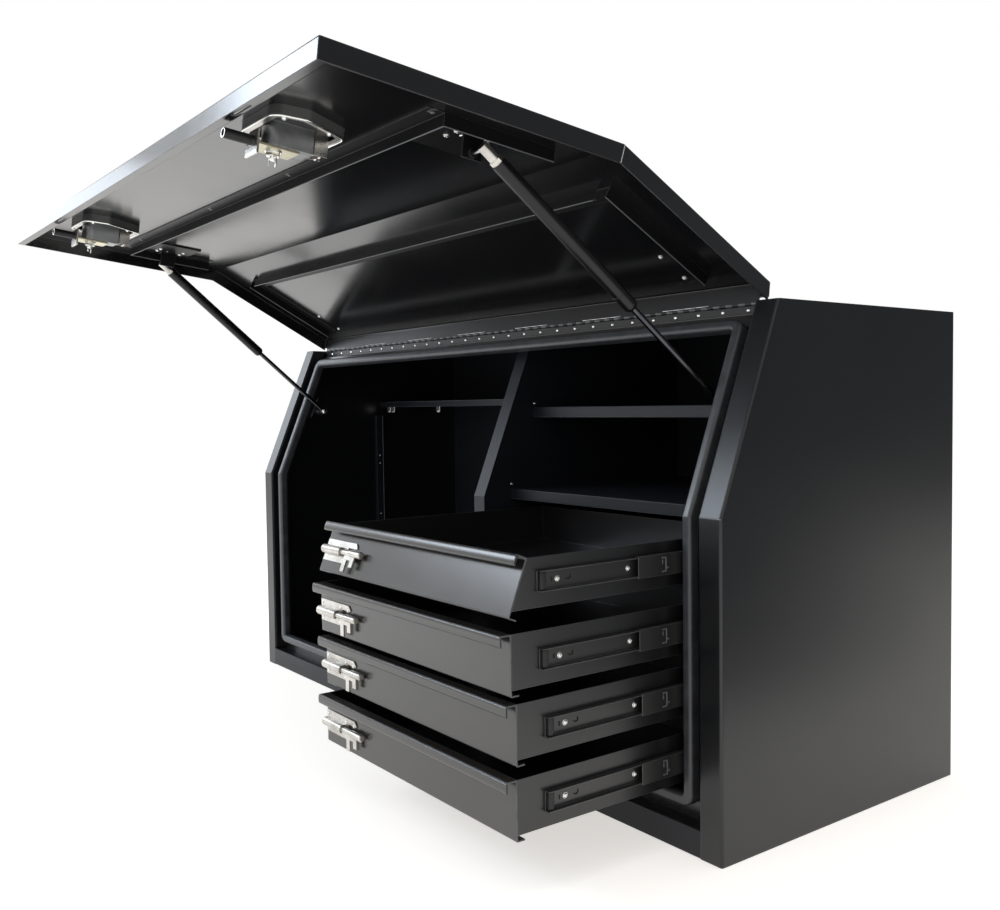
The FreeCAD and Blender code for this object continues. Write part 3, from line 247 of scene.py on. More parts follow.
# Light grey for the housing's outer wall, a painted reflection on its black paint
LOCK_WALL_REFLECTION = powder_coat(
    "lock_wall_reflection", (0.10, 0.10, 0.10), (0.15, 0.15, 0.145), 0.3, (0.7, 0.7, 0.68),
    peel=0.06, edge_highlight=0.8,
)
STRUT = powder_coat(
    "strut_black", (0.006, 0.006, 0.007), (0.010, 0.010, 0.011), 0.26, (0.1, 0.1, 0.1),
    peel=0.03, gloss=0.4,
)
# A light grey copy of the black coat, a painted highlight for beads, rivets, knuckles, hems, welds
# and cage ends
HIGHLIGHT_COAT = powder_coat(
    "painted_highlight_coat", (0.10, 0.105, 0.115), (0.17, 0.175, 0.19), 0.3, (0.5, 0.5, 0.52),
    peel=0.04, edge_highlight=0.9,
)


def paint(names, mat):
    for name in names:
        data = nodes[name].data
        data.materials.clear()
        data.materials.append(mat)


# Places on the lid are given for the closed lid, in millimetres, and turned up to the open pose
def opened(x, y, z):
    dy = y - HINGE[1]
    dz = z - HINGE[2]
    cosine = math.cos(OPEN_ANGLE)
    sine = math.sin(OPEN_ANGLE)
    return metres(x, HINGE[1] + dy * cosine - dz * sine, HINGE[2] + dy * sine + dz * cosine)


def on_front(x, drop, depth):
    return opened(x, depth, BEND - drop)


def slant_place(x, rise, depth):
    y = rise * math.sin(SLANT) + depth * math.cos(SLANT)
    return x, y, BEND + rise * math.cos(SLANT) - depth * math.sin(SLANT)


def on_slant(x, rise, depth):
    return opened(*slant_place(x, rise, depth))


def on_wall(x, rise, depth):
    return metres(*slant_place(x, rise, depth))


FRONT_IN = (on_front(0, 0, 1) - on_front(0, 0, 0)).normalized()
FRONT_DOWN = (on_front(0, 1, 0) - on_front(0, 0, 0)).normalized()
SLANT_IN = (on_slant(0, 0, 1) - on_slant(0, 0, 0)).normalized()
SLANT_UP = (on_slant(0, 1, 0) - on_slant(0, 0, 0)).normalized()
X = Vector((1, 0, 0))
Y = Vector((0, 1, 0))
Z = Vector((0, 0, 1))


# Mesh builders take places in metres and lengths in millimetres
def across(axis):
    side = axis.cross(Z) if abs(axis.z) < 0.9 else axis.cross(X)
    side.normalize()
    return side, axis.cross(side).normalized()


def turned(bm, centre, axis, profile, segments=20):
    side, up = across(axis)
    rings = []
    for radius, height in profile:
        middle = centre + axis * (height / MM)
        if radius == 0:
            rings.append([bm.verts.new(middle)])
            continue
        ring = []
        for step in range(segments):
            turn = 2 * math.pi * step / segments
            ring.append(bm.verts.new(
                middle + (side * math.cos(turn) + up * math.sin(turn)) * (radius / MM)
            ))
        rings.append(ring)
    for low, high in zip(rings, rings[1:]):
        for step in range(segments):
            after = (step + 1) % segments
            corners = []
            for vert in (
                low[step % len(low)], low[after % len(low)],
                high[after % len(high)], high[step % len(high)],
            ):
                if vert not in corners:
                    corners.append(vert)
            bm.faces.new(corners)


def dome(bm, centre, axis, radius, height, segments=20):
    turned(bm, centre, axis, [
        (0, -0.3), (radius, -0.3), (radius, height * 0.2), (radius * 0.9, height * 0.55),
        (radius * 0.62, height * 0.85), (radius * 0.3, height * 0.97), (0, height),
    ], segments)


def screw(bm, centre, axis, radius, height):
    turned(bm, centre, axis, [
        (0, -0.3), (radius * 1.25, -0.3), (radius * 1.25, height * 0.2), (radius, height * 0.25),
        (radius * 0.95, height * 0.7), (radius * 0.7, height), (radius * 0.35, height),
        (radius * 0.22, height * 0.5), (0, height * 0.45),
    ], 18)


def rod_between(bm, start, end, radius, segments=12):
    axis = end - start
    length = axis.length * MM
    axis.normalize()
    turned(bm, start, axis, [
        (0, 0), (radius * 0.7, 0), (radius, radius * 0.3), (radius, length - radius * 0.3),
        (radius * 0.7, length), (0, length),
    ], segments)


def bar_along(bm, points, radius, closed=False, segments=10):
    rings = []
    count = len(points)
    for index, point in enumerate(points):
        before = points[index - 1] if closed or index else points[index]
        after = points[(index + 1) % count] if closed or index < count - 1 else points[index]
        axis = (after - before).normalized()
        side, up = across(axis)
        rings.append([
            bm.verts.new(point + (
                side * math.cos(2 * math.pi * step / segments)
                + up * math.sin(2 * math.pi * step / segments)
            ) * (radius / MM))
            for step in range(segments)
        ])
    pairs = list(zip(rings, rings[1:]))
    if closed:
        pairs.append((rings[-1], rings[0]))
    for low, high in pairs:
        for step in range(segments):
            after = (step + 1) % segments
            bm.faces.new((low[step], low[after], high[after], high[step]))
    if not closed:
        bm.faces.new(list(reversed(rings[0])))
        bm.faces.new(rings[-1])


CORNER_STEPS = 4


def slab(bm, centre, along_u, along_v, half_u, half_v, corner, thickness):
    normal = along_u.cross(along_v).normalized()
    outline = []
    for sign_u, sign_v, first in ((1, 1, 0), (-1, 1, 1), (-1, -1, 2), (1, -1, 3)):
        for step in range(CORNER_STEPS + 1):
            turn = math.pi / 2 * (first + step / CORNER_STEPS)
            u = sign_u * (half_u - corner) + corner * math.cos(turn)
            v = sign_v * (half_v - corner) + corner * math.sin(turn)
            outline.append(centre + (along_u * u + along_v * v) / MM)
    chamfer = min(thickness, corner) * 0.3
    lower = [bm.verts.new(point) for point in outline]
    shoulder = [bm.verts.new(point + normal * (thickness - chamfer) / MM) for point in outline]
    inner = []
    for point in outline:
        inward = (centre - point).normalized()
        inner.append(bm.verts.new(point + inward * chamfer / MM + normal * thickness / MM))
    count = len(outline)
    for low, high in ((lower, shoulder), (shoulder, inner)):
        for step in range(count):
            after = (step + 1) % count
            bm.faces.new((low[step], low[after], high[after], high[step]))
    bm.faces.new(list(reversed(lower)))
    bm.faces.new(inner)


SHARP_ANGLE = math.radians(40)


def finish_piece(name, bm, mat, body):
    bmesh.ops.recalc_face_normals(bm, faces=bm.faces)
    mesh = bpy.data.meshes.new(name)
    bm.to_mesh(mesh)
    bm.free()
    mesh.materials.append(mat)
    for polygon in mesh.polygons:
        polygon.use_smooth = True
    mesh.set_sharp_from_angle(angle=SHARP_ANGLE)
    piece = bpy.data.objects.new(name, mesh)
    bpy.context.scene.collection.objects.link(piece)
    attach(piece, body)


# Materials of the solids; a part of a piece gets its own by where its faces lie
def paint_faces(name, mats, choose):
    data = nodes[name].data
    data.materials.clear()
    for mat in mats:
        data.materials.append(mat)
    for polygon in data.polygons:
        polygon.material_index = choose(polygon.center, polygon.normal)


def along_axis(point, origin, axis):
    return (point - origin).dot(axis) * MM


paint(["side_panel_left", "side_panel_right", "gutter_left", "gutter_right"], SIDE)
paint(["gutter_bottom", "gutter_top", "top_panel"], BODY)
paint([
    "back_panel", "floor_panel", "divider_panel", "drawer_bay_panel", "shelf_right_upper",
    "shelf_right_lower", "shelf_left", "shelf_brackets",
], INSIDE)
paint(["lid_skin"], LID_IN)
paint(["lid_stiffener_front", "lid_stiffener_slant"], STIFFENER)
paint(["hinge_fixed_leaf", "hinge_moving_leaf", "hinge_pin"], HINGE_METAL)
paint(["door_seal"], SEAL)
paint(["lock_clamps", "lock_handle_left", "lock_handle_right"], ZINC)
paint(["slide_outer_members"], STEEL)
DRAWERS = range(1, 5)
for number in DRAWERS:
    stem = "drawer_%d_" % number
    paint([stem + "tray"], TRAY)
    paint([stem + "front"], DRAWER)
    paint([stem + "slide_inner", stem + "slide_middle"], STEEL)
    paint([stem + "latch_body", stem + "latch_bolt"], ZINC)

# Struts: a zinc ball socket at the lid, a black tube, a dark rod and a bright eye
# The ball, the strut's direction and the eye are in the part's own frame, in metres
BALL = (0.637, -0.598855, 1.000017)
RUN = (0.06962773, 0.77304233, -0.63052164)
EYE_X = 0.675
EYE_RISE = 192.0
EYE_DEPTH = 55.4
EYE_HALF = 6.2
EYE_REACH = 13.0
STUD_REACH = 12.0
SOCKET_LENGTH = 26.0
SOCKET_MARGIN = 0.5
TUBE_END = 309.0
NUT_START = 18.0
NUT_PROFILE = [(8.1, 0), (9.6, 0.6), (9.6, 7.4), (8.1, 8.0)]
COLLAR_PROFILE = [(11.0, 0), (11.5, 0.5), (11.5, 1.5), (11.0, 2.0)]
CAP_PROFILE = [
    (10.9, -0.4), (10.9, 1.0), (9.6, 4.0), (7.2, 6.5), (6.6, 6.8), (5.6, 6.8), (5.6, 1.0),
]
balls = []
for side, sign in (("left", -1), ("right", 1)):
    cylinder = "strut_cylinder_" + side
    ball = Vector((sign * BALL[0], BALL[1], BALL[2]))
    balls.append(ball)
    run = Vector((sign * RUN[0], RUN[1], RUN[2]))
    eye = on_wall(0, EYE_RISE, EYE_DEPTH)
    eye.x = sign * EYE_X
    paint_faces(
        cylinder, [STRUT, ZINC],
        lambda place, normal: int(along_axis(place, ball, run) < SOCKET_LENGTH - SOCKET_MARGIN),
    )
    paint_faces(
        "strut_rod_" + side, [ROD, BRIGHT],
        lambda place, normal: int((place - eye).length * MM < EYE_REACH),
    )
    bm = bmesh.new()
    turned(bm, ball + run * (NUT_START / MM), run, NUT_PROFILE, 6)
    finish_piece("strut_socket_nut_" + side, bm, ZINC, cylinder)
    bm = bmesh.new()
    turned(bm, ball + run * ((TUBE_END - SOCKET_LENGTH) / MM), run, COLLAR_PROFILE, 28)
    turned(bm, ball + run * (TUBE_END / MM), run, CAP_PROFILE, 28)
    finish_piece("strut_end_cap_" + side, bm, STRUT, cylinder)
    bm = bmesh.new()
    dome(bm, eye - X * sign * (EYE_HALF / MM), -X * sign, 6.4, 3.2, 24)
    finish_piece("strut_eye_cap_" + side, bm, BRIGHT, "strut_rod_" + side)
paint_faces(
    "strut_upper_brackets", [STIFFENER, BRIGHT],
    lambda place, normal: int(min((place - ball).length for ball in balls) * MM < STUD_REACH),
)
paint(["strut_lower_brackets"], BODY)
PLATE_FACE = 5.0
EDGE_HIGHLIGHT_FACE = 5.2
bm = bmesh.new()
for x in (170, 195, 1355, 1380):
    for drop in (135, 186):
        screw(bm, on_front(x, drop, PLATE_FACE), FRONT_IN, 4.0, 2.6)
# Bright rods along the brackets' edges, a painted highlight
for x in (1369, 138):
    rod_between(bm, on_front(x, 174, EDGE_HIGHLIGHT_FACE), on_front(x + 44, 166, EDGE_HIGHLIGHT_FACE), 1.6)
finish_piece("strut_bracket_screws_and_edge_highlights", bm, BRIGHT, "lid")

# Locks: a bright rim tube and zinc ring face as a painted highlight on the housing's edge, dark
# hollow, cast cup, nut with a split pin, rubber sleeve
LOCK_X = (330.0, 1220.0)
LOCK_DROP = 343.0
LOCK_CORNERS = [(-56, 58), (56, 58), (68, 12), (38, -58), (-38, -58), (-68, 12)]
LOCK_CORNER_RADIUS = 20.0
LOCK_CORNER_STEPS = 6
RIM_INSET = 1.2
RIM_RADIUS = 1.8
SHAFT_DROP = 372.0
SKIRT = 16.0
SKIRT_MARGIN = 0.2
WALL_START = 0.5
OUTWARD_LEAST = 5.0
CUP_HALF = 17.6
CUP_DROP = (321.0, 390.5)
FLOOR_DEPTH = 10.3
PLATE_DEPTH = (43.9, 47.6)
PLATE_DROP = 399.8
PLATE_BACK = 47.4
TAB_DROP = 403.2
SLEEVE_END = 442.8
RING_SCREWS = ((-51, 39), (51, 39), (-41, -31), (41, -31))
CHANNEL_DEPTH = 40.0
CHANNEL_DROP = 36.0
WASHER_PROFILE = [(5.2, 0), (11.5, 0), (11.5, 1.4), (5.2, 1.4)]
NUT_BODY_PROFILE = [(5.2, 1.4), (9.6, 1.4), (9.9, 2.0), (9.9, 6.8), (5.2, 6.8)]
SHAFT_PROFILE = [(5.0, 5.8), (4.9, 11.4), (4.2, 12.2), (0, 12.2)]
PRONG_RADIUS = 6.8
PRONG_START = 6.7
PIN_DEPTH = 9.4
PIN_HALF = 11.0
LONG_LEG = ((10.0, 0.0), (12.5, 2.0), (13.0, 9.0), (11.0, 14.0))
SHORT_LEG = ((-10.0, 0.0), (-12.0, 2.0), (-10.0, 7.0))


def lid_local(place):
    origin = on_front(0, 0, 0)
    return (
        (place - origin).x * MM,
        along_axis(place, origin, FRONT_DOWN),
        along_axis(place, origin, FRONT_IN),
    )


def lock_outline(grow, corner):
    outline = []
    for index, (x, y) in enumerate(LOCK_CORNERS):
        point = Vector((x, y))
        back = (Vector(LOCK_CORNERS[index - 1]) - point).normalized()
        ahead = (Vector(LOCK_CORNERS[(index + 1) % len(LOCK_CORNERS)]) - point).normalized()
        half = math.acos(max(-1, min(1, back.dot(ahead)))) / 2
        middle = point + (back + ahead).normalized() * corner / math.sin(half)
        first = point + back * corner / math.tan(half) - middle
        last = point + ahead * corner / math.tan(half) - middle
        turn = first.angle_signed(last)
        for step in range(LOCK_CORNER_STEPS + 1):
            arm = first.copy()
            arm.rotate(Matrix.Rotation(-turn * step / LOCK_CORNER_STEPS, 2))
            outline.append(middle + arm * (corner + grow) / corner)
    return outline


# Material slots of a housing: 0 hollow, 1 outer wall in light grey as a painted reflection, 2 cup,
# 3 ring in zinc as a painted highlight on the housing's edge
def housing_slot(place, normal, lock_x):
    x, drop, depth = lid_local(place)
    if abs(x - lock_x) < CUP_HALF and CUP_DROP[0] < drop < CUP_DROP[1] and depth > FLOOR_DEPTH:
        return 2
    if depth > SKIRT - SKIRT_MARGIN:
        return 3
    outward = normal.x * (x - lock_x) + normal.dot(FRONT_DOWN) * (drop - LOCK_DROP)
    return 1 if depth > WALL_START and outward > OUTWARD_LEAST else 0


# Material slots of a cam: 0 tab and sleeve end, 1 plate, 2 sleeve
def cam_slot(place):
    drop, depth = lid_local(place)[1:]
    if drop > SLEEVE_END:
        return 0
    if drop > TAB_DROP:
        return 2
    return 1 if PLATE_DEPTH[0] < depth < PLATE_DEPTH[1] and drop < PLATE_DROP else 0


for side, lock_x in zip(("left", "right"), LOCK_X):
    paint_faces(
        "lock_housing_" + side, [LOCK_BLACK, LOCK_WALL_REFLECTION, CAST, ZINC],
        lambda place, normal: housing_slot(place, normal, lock_x),
    )
    paint_faces(
        "lock_cam_" + side, [ZINC, YELLOW_ZINC, BLACK_RUBBER],
        lambda place, normal: cam_slot(place),
    )
    # A bright tube along the ring, a painted highlight on the housing's edge
    bm = bmesh.new()
    bar_along(bm, [
        on_front(lock_x + point.x, LOCK_DROP + point.y, SKIRT)
        for point in lock_outline(-RIM_INSET, LOCK_CORNER_RADIUS)
    ], RIM_RADIUS, True)
    finish_piece("lock_rim_highlight_" + side, bm, BRIGHT, "lid")
    bm = bmesh.new()
    for x, drop in RING_SCREWS:
        screw(bm, on_front(lock_x + x, LOCK_DROP + drop, SKIRT), FRONT_IN, 3.6, 3.0)
    for x in (-6.0, 6.0):
        place = on_front(lock_x + x, LOCK_DROP - CHANNEL_DROP, CHANNEL_DEPTH)
        dome(bm, place, FRONT_IN, 2.6, 2.0, 14)
    finish_piece("lock_screws_" + side, bm, BRIGHT, "lid")
    bm = bmesh.new()
    shaft = on_front(lock_x, SHAFT_DROP, PLATE_BACK)
    turned(bm, shaft, FRONT_IN, WASHER_PROFILE, 28)
    turned(bm, shaft, FRONT_IN, NUT_BODY_PROFILE, 6)
    for step in range(6):
        turn = 2 * math.pi * (step + 0.5) / 6
        around = X * math.cos(turn) + FRONT_DOWN * math.sin(turn)
        prong = shaft + (around * PRONG_RADIUS + FRONT_IN * PRONG_START) / MM
        slab(bm, prong, X, -FRONT_DOWN, 1.5, 1.5, 0.5, 4.2)
    turned(bm, shaft, FRONT_IN, SHAFT_PROFILE, 20)
    pin = shaft + FRONT_IN * (PIN_DEPTH / MM)
    rod_between(bm, pin - X * (PIN_HALF / MM), pin + X * (PIN_HALF / MM), 1.3)
    for leg in (LONG_LEG, SHORT_LEG):
        bar_along(bm, [pin + (X * aside + FRONT_IN * inward) / MM for aside, inward in leg], 1.2)
    finish_piece("lock_nut_" + side, bm, BRIGHT, "lock_cam_" + side)

# Lid: stiffener edge beads and plug rivets in a light coat as painted highlights, screws, and
# bright rods at the bend as a painted reflection of the seam
BEAD_DEPTH = 20.0
BEAD_RADIUS = 0.9
PLUG_DEPTH = 3.5
PLUG_FACE = 5.0
SKIN_FACE = 2.0
FRONT_BEAD_DROP = 231.7
FRONT_PLUG_DROP = 246.0
SLANT_BEAD_RISE = 66.7
SLANT_PLUG_RISE = 80.0
HALF_TAN = math.tan(SLANT / 2)
SEAM_DEPTHS = (1.5, 27.0)
# Light rods along the stiffeners' edges, painted highlights
bm = bmesh.new()
for first, last in (
    (on_front(131, FRONT_BEAD_DROP, BEAD_DEPTH), on_front(1419, FRONT_BEAD_DROP, BEAD_DEPTH)),
    (on_slant(164, SLANT_BEAD_RISE, BEAD_DEPTH), on_slant(1386, SLANT_BEAD_RISE, BEAD_DEPTH)),
    (on_front(130.7, 50, BEAD_DEPTH), on_front(130.7, 231, BEAD_DEPTH)),
    (on_front(1419.3, 50, BEAD_DEPTH), on_front(1419.3, 231, BEAD_DEPTH)),
    (on_slant(136.7, 67, BEAD_DEPTH), on_slant(136.7, 304, BEAD_DEPTH)),
    (on_slant(1413.3, 67, BEAD_DEPTH), on_slant(1413.3, 304, BEAD_DEPTH)),
):
    rod_between(bm, first, last, BEAD_RADIUS)
finish_piece("stiffener_edge_highlights", bm, HIGHLIGHT_COAT, "lid")
# Plug rivets in the light coat, a painted highlight
bm = bmesh.new()
for x in (250, 657, 993, 1413):
    slab(bm, on_front(x, FRONT_PLUG_DROP, PLUG_DEPTH), X, -FRONT_DOWN, 7, 5, 2, 1.6)
    dome(bm, on_front(x, FRONT_PLUG_DROP, PLUG_FACE), FRONT_IN, 3.2, 1.6)
for x in (218, 562, 973, 1361):
    slab(bm, on_slant(x, SLANT_PLUG_RISE, PLUG_DEPTH), X, SLANT_UP, 7, 5, 2, 1.6)
    dome(bm, on_slant(x, SLANT_PLUG_RISE, PLUG_FACE), SLANT_IN, 3.2, 1.6)
finish_piece("stiffener_rivets", bm, HIGHLIGHT_COAT, "lid")
bm = bmesh.new()
for x, rise in ((1365, 240), (1365, 301), (185, 240), (185, 301)):
    screw(bm, on_slant(x, rise, SKIN_FACE), SLANT_IN, 3.6, 2.6)
finish_piece("lid_screws", bm, BRIGHT, "lid")
# Bright rods at the bend's corners, a painted reflection of the seam
bm = bmesh.new()
for x in (43.8, 1506.2):
    first, last = (opened(x, depth, BEND - depth * HALF_TAN) for depth in SEAM_DEPTHS)
    rod_between(bm, first, last, 0.8)
finish_piece("lid_bend_seam_reflections", bm, BRIGHT, "lid")

# Hinge: rivets in the fixed leaf and light rings on the knuckles as painted highlights
RIVET_COUNT = 28
RIVET_FIRST = 83.8
RIVET_PITCH = 51.2
RIVET_PLACE = (160.6, 805.0)
KNUCKLE_COUNT = 56
KNUCKLE_FIRST = 67.0
KNUCKLE_PROFILE = [(3.05, 0), (3.35, 0.4), (3.35, 12.6), (3.05, 13.0)]
bm = bmesh.new()
for step in range(RIVET_COUNT):
    dome(bm, metres(RIVET_FIRST + RIVET_PITCH * step, *RIVET_PLACE), -Y, 3.5, 1.7)
finish_piece("hinge_rivets", bm, BRIGHT, "cabinet")
# Light rings on the knuckles, painted highlights
bm = bmesh.new()
for step in range(KNUCKLE_COUNT):
    place = metres(KNUCKLE_FIRST + RIVET_PITCH / 2 * step, HINGE[1], HINGE[2])
    turned(bm, place, X, KNUCKLE_PROFILE, 16)
finish_piece("hinge_knuckle_highlights", bm, HIGHLIGHT_COAT, "cabinet")

# Shelves and walls: hems and weld lines in a light coat as painted highlights, screws, tabs and
# the sealant seam
# Light rods along shelf edges and the upright, painted highlights
bm = bmesh.new()
for first, last, radius in (
    ((903, 123, 480.2), (1508, 123, 480.2), 1.0),
    ((903, 184, 640.2), (1508, 184, 640.2), 1.0),
    ((30, 351, 665.2), (867, 351, 665.2), 0.9),
    ((30, 350.4, 678.4), (867, 350.4, 678.4), 0.6),
    ((12.3, 349.6, 302), (12.3, 349.6, 640), 0.8),
):
    rod_between(bm, metres(*first), metres(*last), radius)
finish_piece("shelf_hem_highlights", bm, HIGHLIGHT_COAT, "cabinet")
bm = bmesh.new()
for y, z in ((186, 667), (126, 508)):
    screw(bm, metres(901, y, z), X, 3.0, 2.2)
for x in (890, 897):
    dome(bm, metres(x, 158, 772.6), -Z, 3.0, 2.0)
for z in (530, 508, 367):
    dome(bm, metres(12.5, 340, z), X, 2.6, 1.6)
for x in (47, 68, 295):
    slab(bm, metres(x, 351.8, 658), X, Z, 8, 8.5, 2, 1.8)
    dome(bm, metres(x, 350.2, 652), -Y, 3.0, 1.8)
finish_piece("wall_screws", bm, BRIGHT, "cabinet")
bm = bmesh.new()
rod_between(bm, metres(340, 597.2, 652), metres(340, 597.2, 330), 1.0)
finish_piece("sealant_seam", bm, SEAL, "cabinet")
# Light rods at the slant feet, painted highlights
bm = bmesh.new()
for first, last in ((1511.5, 1549.5), (0.5, 38.5)):
    rod_between(bm, metres(first, 0.4, 498.6), metres(last, 0.4, 498.6), 0.9)
finish_piece("flange_weld_highlights", bm, HIGHLIGHT_COAT, "cabinet")

# Drawers: screws of the slides, dark rods as painted shade in their punched holes, stops, light
# cage-end slabs as painted glints, latch screws, rolled lips
SLIDE_FACES = ((1, 1455.2), (-1, 912.5))
SLIDE_SCREWS = (35.0, 166.0, 300.0)
WEB_GAP = 0.4
PUNCH_Y = 25.0
PUNCH_HALF = 3.0
HOOK = ((50.0, -1.0), (54.0, -3.0), (58.0, -1.0), (58.0, 3.0))
STOP_Y = 6.5
MIDDLE_FACES = ((1, 1465.2), (-1, 902.5))
CAGE_Y = -22.0
CAGE_SLABS = (
    (0, 0, 1.2, 9.0), (-4, 10, 4.6, 1.0), (-4, -10, 4.6, 1.0), (-7, 4, 1.0, 3.0),
    (3, -5, 2.4, 1.2),
)
LATCH_SCREWS = ((6.0, 6.0), (6.0, 31.0), (70.0, 31.0), (95.0, 28.0), (68.0, 6.0))
LATCH_FACE = 1.9
LEANING_DRAWER = 4
LEANING_FOOT = (9.8, 0.8)
DRAWER_LEFT = 913.7
DRAWER_SETBACK = 78.0
DRAWER_PULLS = (371.0, 370.0, 378.0, 381.0)
DRAWER_BOTTOMS = (84.0, 185.0, 279.0, 384.0)
LIP_LENGTH = 540.3
LIP_MIDDLE = 76.0
LIP_HALF = 7.8
LIP_FACE = 15.2
LIP_BULGE = 2.2
LIP_STEPS = 10


def slide_details(body):
    low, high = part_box(body + "_slide_inner")
    start = low[1]
    centre_z = (low[2] + high[2]) / 2
    bright = bmesh.new()
    black = bmesh.new()
    for sign, face in SLIDE_FACES:
        end = Vector((metres(face, 0, 0).x, start, centre_z))
        for offset in SLIDE_SCREWS:
            screw(bright, end + Y * (offset / MM), X * sign, 3.6, 2.4)
        web = end + X * (sign * WEB_GAP / MM)
        # Dark rods at the punched slot and hook, painted shade in the holes
        punch = web + Y * (PUNCH_Y / MM)
        rod_between(black, punch - Z * (PUNCH_HALF / MM), punch + Z * (PUNCH_HALF / MM), 0.9)
        bar_along(black, [web + (Y * back + Z * rise) / MM for back, rise in HOOK], 0.8)
        slab(black, end + Y * (STOP_Y / MM), Y * sign, Z, 4.5, 12.6, 2.0, 6.0)
    finish_piece(body + "_slide_screws", bright, BRIGHT, body)
    finish_piece(body + "_slide_stops_and_hole_shade", black, BLACK_RUBBER, body)
    # Thin light slabs at the cage ends, painted glints
    cage = bmesh.new()
    for sign, face in MIDDLE_FACES:
        middle = metres(face, CAGE_Y, 0)
        middle.z = centre_z
        for back, rise, half_u, half_v in CAGE_SLABS:
            place = middle + (Y * back + Z * rise) / MM
            slab(cage, place, Y * sign, Z, half_u, half_v, 0.5, 0.25)
    finish_piece(body + "_cage_end_glints", cage, HIGHLIGHT_COAT, body + "_middle")


def latch_details(body, leaning, along, out_of):
    low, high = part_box(body + "_latch_body")
    foot = Vector((low[0], high[1], low[2]))
    if leaning:
        foot.y = low[1] + LEANING_FOOT[0] / MM
        foot.z = low[2] + LEANING_FOOT[1] / MM
    bm = bmesh.new()
    for x, rise in LATCH_SCREWS:
        place = foot + (X * x + along * rise + out_of * LATCH_FACE) / MM
        screw(bm, place, out_of, 2.6, 1.6)
    finish_piece(body + "_latch_screws", bm, BRIGHT, body)


def lip_roll(body, foot, along, out_of):
    bm = bmesh.new()
    ends = []
    for x in (0.0, LIP_LENGTH):
        end = []
        for step in range(LIP_STEPS + 1):
            turn = math.pi * (step / LIP_STEPS - 0.5)
            rise = LIP_MIDDLE + LIP_HALF * math.sin(turn)
            depth = LIP_FACE + LIP_BULGE * math.cos(turn)
            end.append(bm.verts.new(foot + (X * x + along * rise + out_of * depth) / MM))
        ends.append(end)
    left, right = ends
    for step in range(LIP_STEPS):
        bm.faces.new((left[step], left[step + 1], right[step + 1], right[step]))
    bm.faces.new((left[LIP_STEPS], left[0], right[0], right[LIP_STEPS]))
    bm.faces.new(left)
    bm.faces.new(list(reversed(right)))
    finish_piece(body + "_lip_roll", bm, DRAWER, body)


for number, pull, bottom in zip(DRAWERS, DRAWER_PULLS, DRAWER_BOTTOMS):
    body = "drawer_%d" % number
    leaning = number == LEANING_DRAWER
    lean = SLANT if leaning else 0.0
    along = Vector((0, math.sin(lean), math.cos(lean)))
    out_of = Vector((0, -math.cos(lean), math.sin(lean)))
    slide_details(body)
    latch_details(body, leaning, along, out_of)
    lip_roll(body, metres(DRAWER_LEFT, DRAWER_SETBACK - pull, bottom), along, out_of)


# Floor, light and camera
def background_rays(tree):
    path = tree.nodes.new("ShaderNodeLightPath")
    value = path.outputs["Is Camera Ray"]
    for ray in ("Is Glossy Ray", "Is Transmission Ray"):
        largest = tree.nodes.new("ShaderNodeMath")
        largest.operation = "MAXIMUM"
        tree.links.new(value, largest.inputs[0])
        tree.links.new(path.outputs[ray], largest.inputs[1])
        value = largest.outputs[0]
    return value


# A material or world without a shader yet, as its tree and its output node
def bare_tree(owner, kind):
    owner.use_nodes = True
    owner.node_tree.nodes.clear()
    return owner.node_tree, owner.node_tree.nodes.new(kind)


def emission(tree, colour, strength):
    node = tree.nodes.new("ShaderNodeEmission")
    node.inputs["Color"].default_value = (*colour, 1)
    node.inputs["Strength"].default_value = strength
    return node


def stage_plane(name, corners, mat):
    mesh = bpy.data.meshes.new(name)
    mesh.from_pydata(corners, [], [(0, 1, 2, 3)])
    mesh.materials.append(mat)
    plane = bpy.data.objects.new(name, mesh)
    bpy.context.scene.collection.objects.link(plane)
    return plane


FLOOR_HALF = 14.0
FLOOR_DROP = 0.0005
FLOOR_GLOW = 0.62
floor_mat = bpy.data.materials.new("floor")
tree, out = bare_tree(floor_mat, "ShaderNodeOutputMaterial")
diffuse = tree.nodes.new("ShaderNodeBsdfDiffuse")
diffuse.inputs["Color"].default_value = (0.80, 0.79, 0.77, 1)
glow = emission(tree, (1.0, 0.97, 0.93), 1.0)
scale = tree.nodes.new("ShaderNodeMath")
scale.operation = "MULTIPLY"
scale.inputs[1].default_value = FLOOR_GLOW
tree.links.new(background_rays(tree), scale.inputs[0])
tree.links.new(scale.outputs[0], glow.inputs["Strength"])
add = tree.nodes.new("ShaderNodeAddShader")
tree.links.new(diffuse.outputs[0], add.inputs[0])
tree.links.new(glow.outputs[0], add.inputs[1])
tree.links.new(add.outputs[0], out.inputs["Surface"])
SQUARE = ((-1, -1), (1, -1), (1, 1), (-1, 1))
stage_plane("floor", [(x * FLOOR_HALF, y * FLOOR_HALF, -FLOOR_DROP) for x, y in SQUARE], floor_mat)

# Dark studio flags that only reflections see: a ceiling and a wall behind on the right
CEILING_HALF = 4.6
CEILING_HEIGHT = 4.2
WALL_LEFT = (-0.6, 6.5)
WALL_RIGHT = (7.5, 0.5)
WALL_TOP = 5.0
flag_mat = bpy.data.materials.new("studio_flag")
tree, out = bare_tree(flag_mat, "ShaderNodeOutputMaterial")
glow = emission(tree, (0.92, 0.96, 1.0), 0.16)
tree.links.new(glow.outputs[0], out.inputs["Surface"])
ceiling = [(x * CEILING_HALF, y * CEILING_HALF, CEILING_HEIGHT) for y, x in SQUARE]
wall = [
    (*WALL_LEFT, 0.0), (*WALL_RIGHT, 0.0), (*WALL_RIGHT, WALL_TOP), (*WALL_LEFT, WALL_TOP),
]
flags = [
    stage_plane("ceiling_flag", ceiling, flag_mat),
    stage_plane("wall_flag", wall, flag_mat),
]

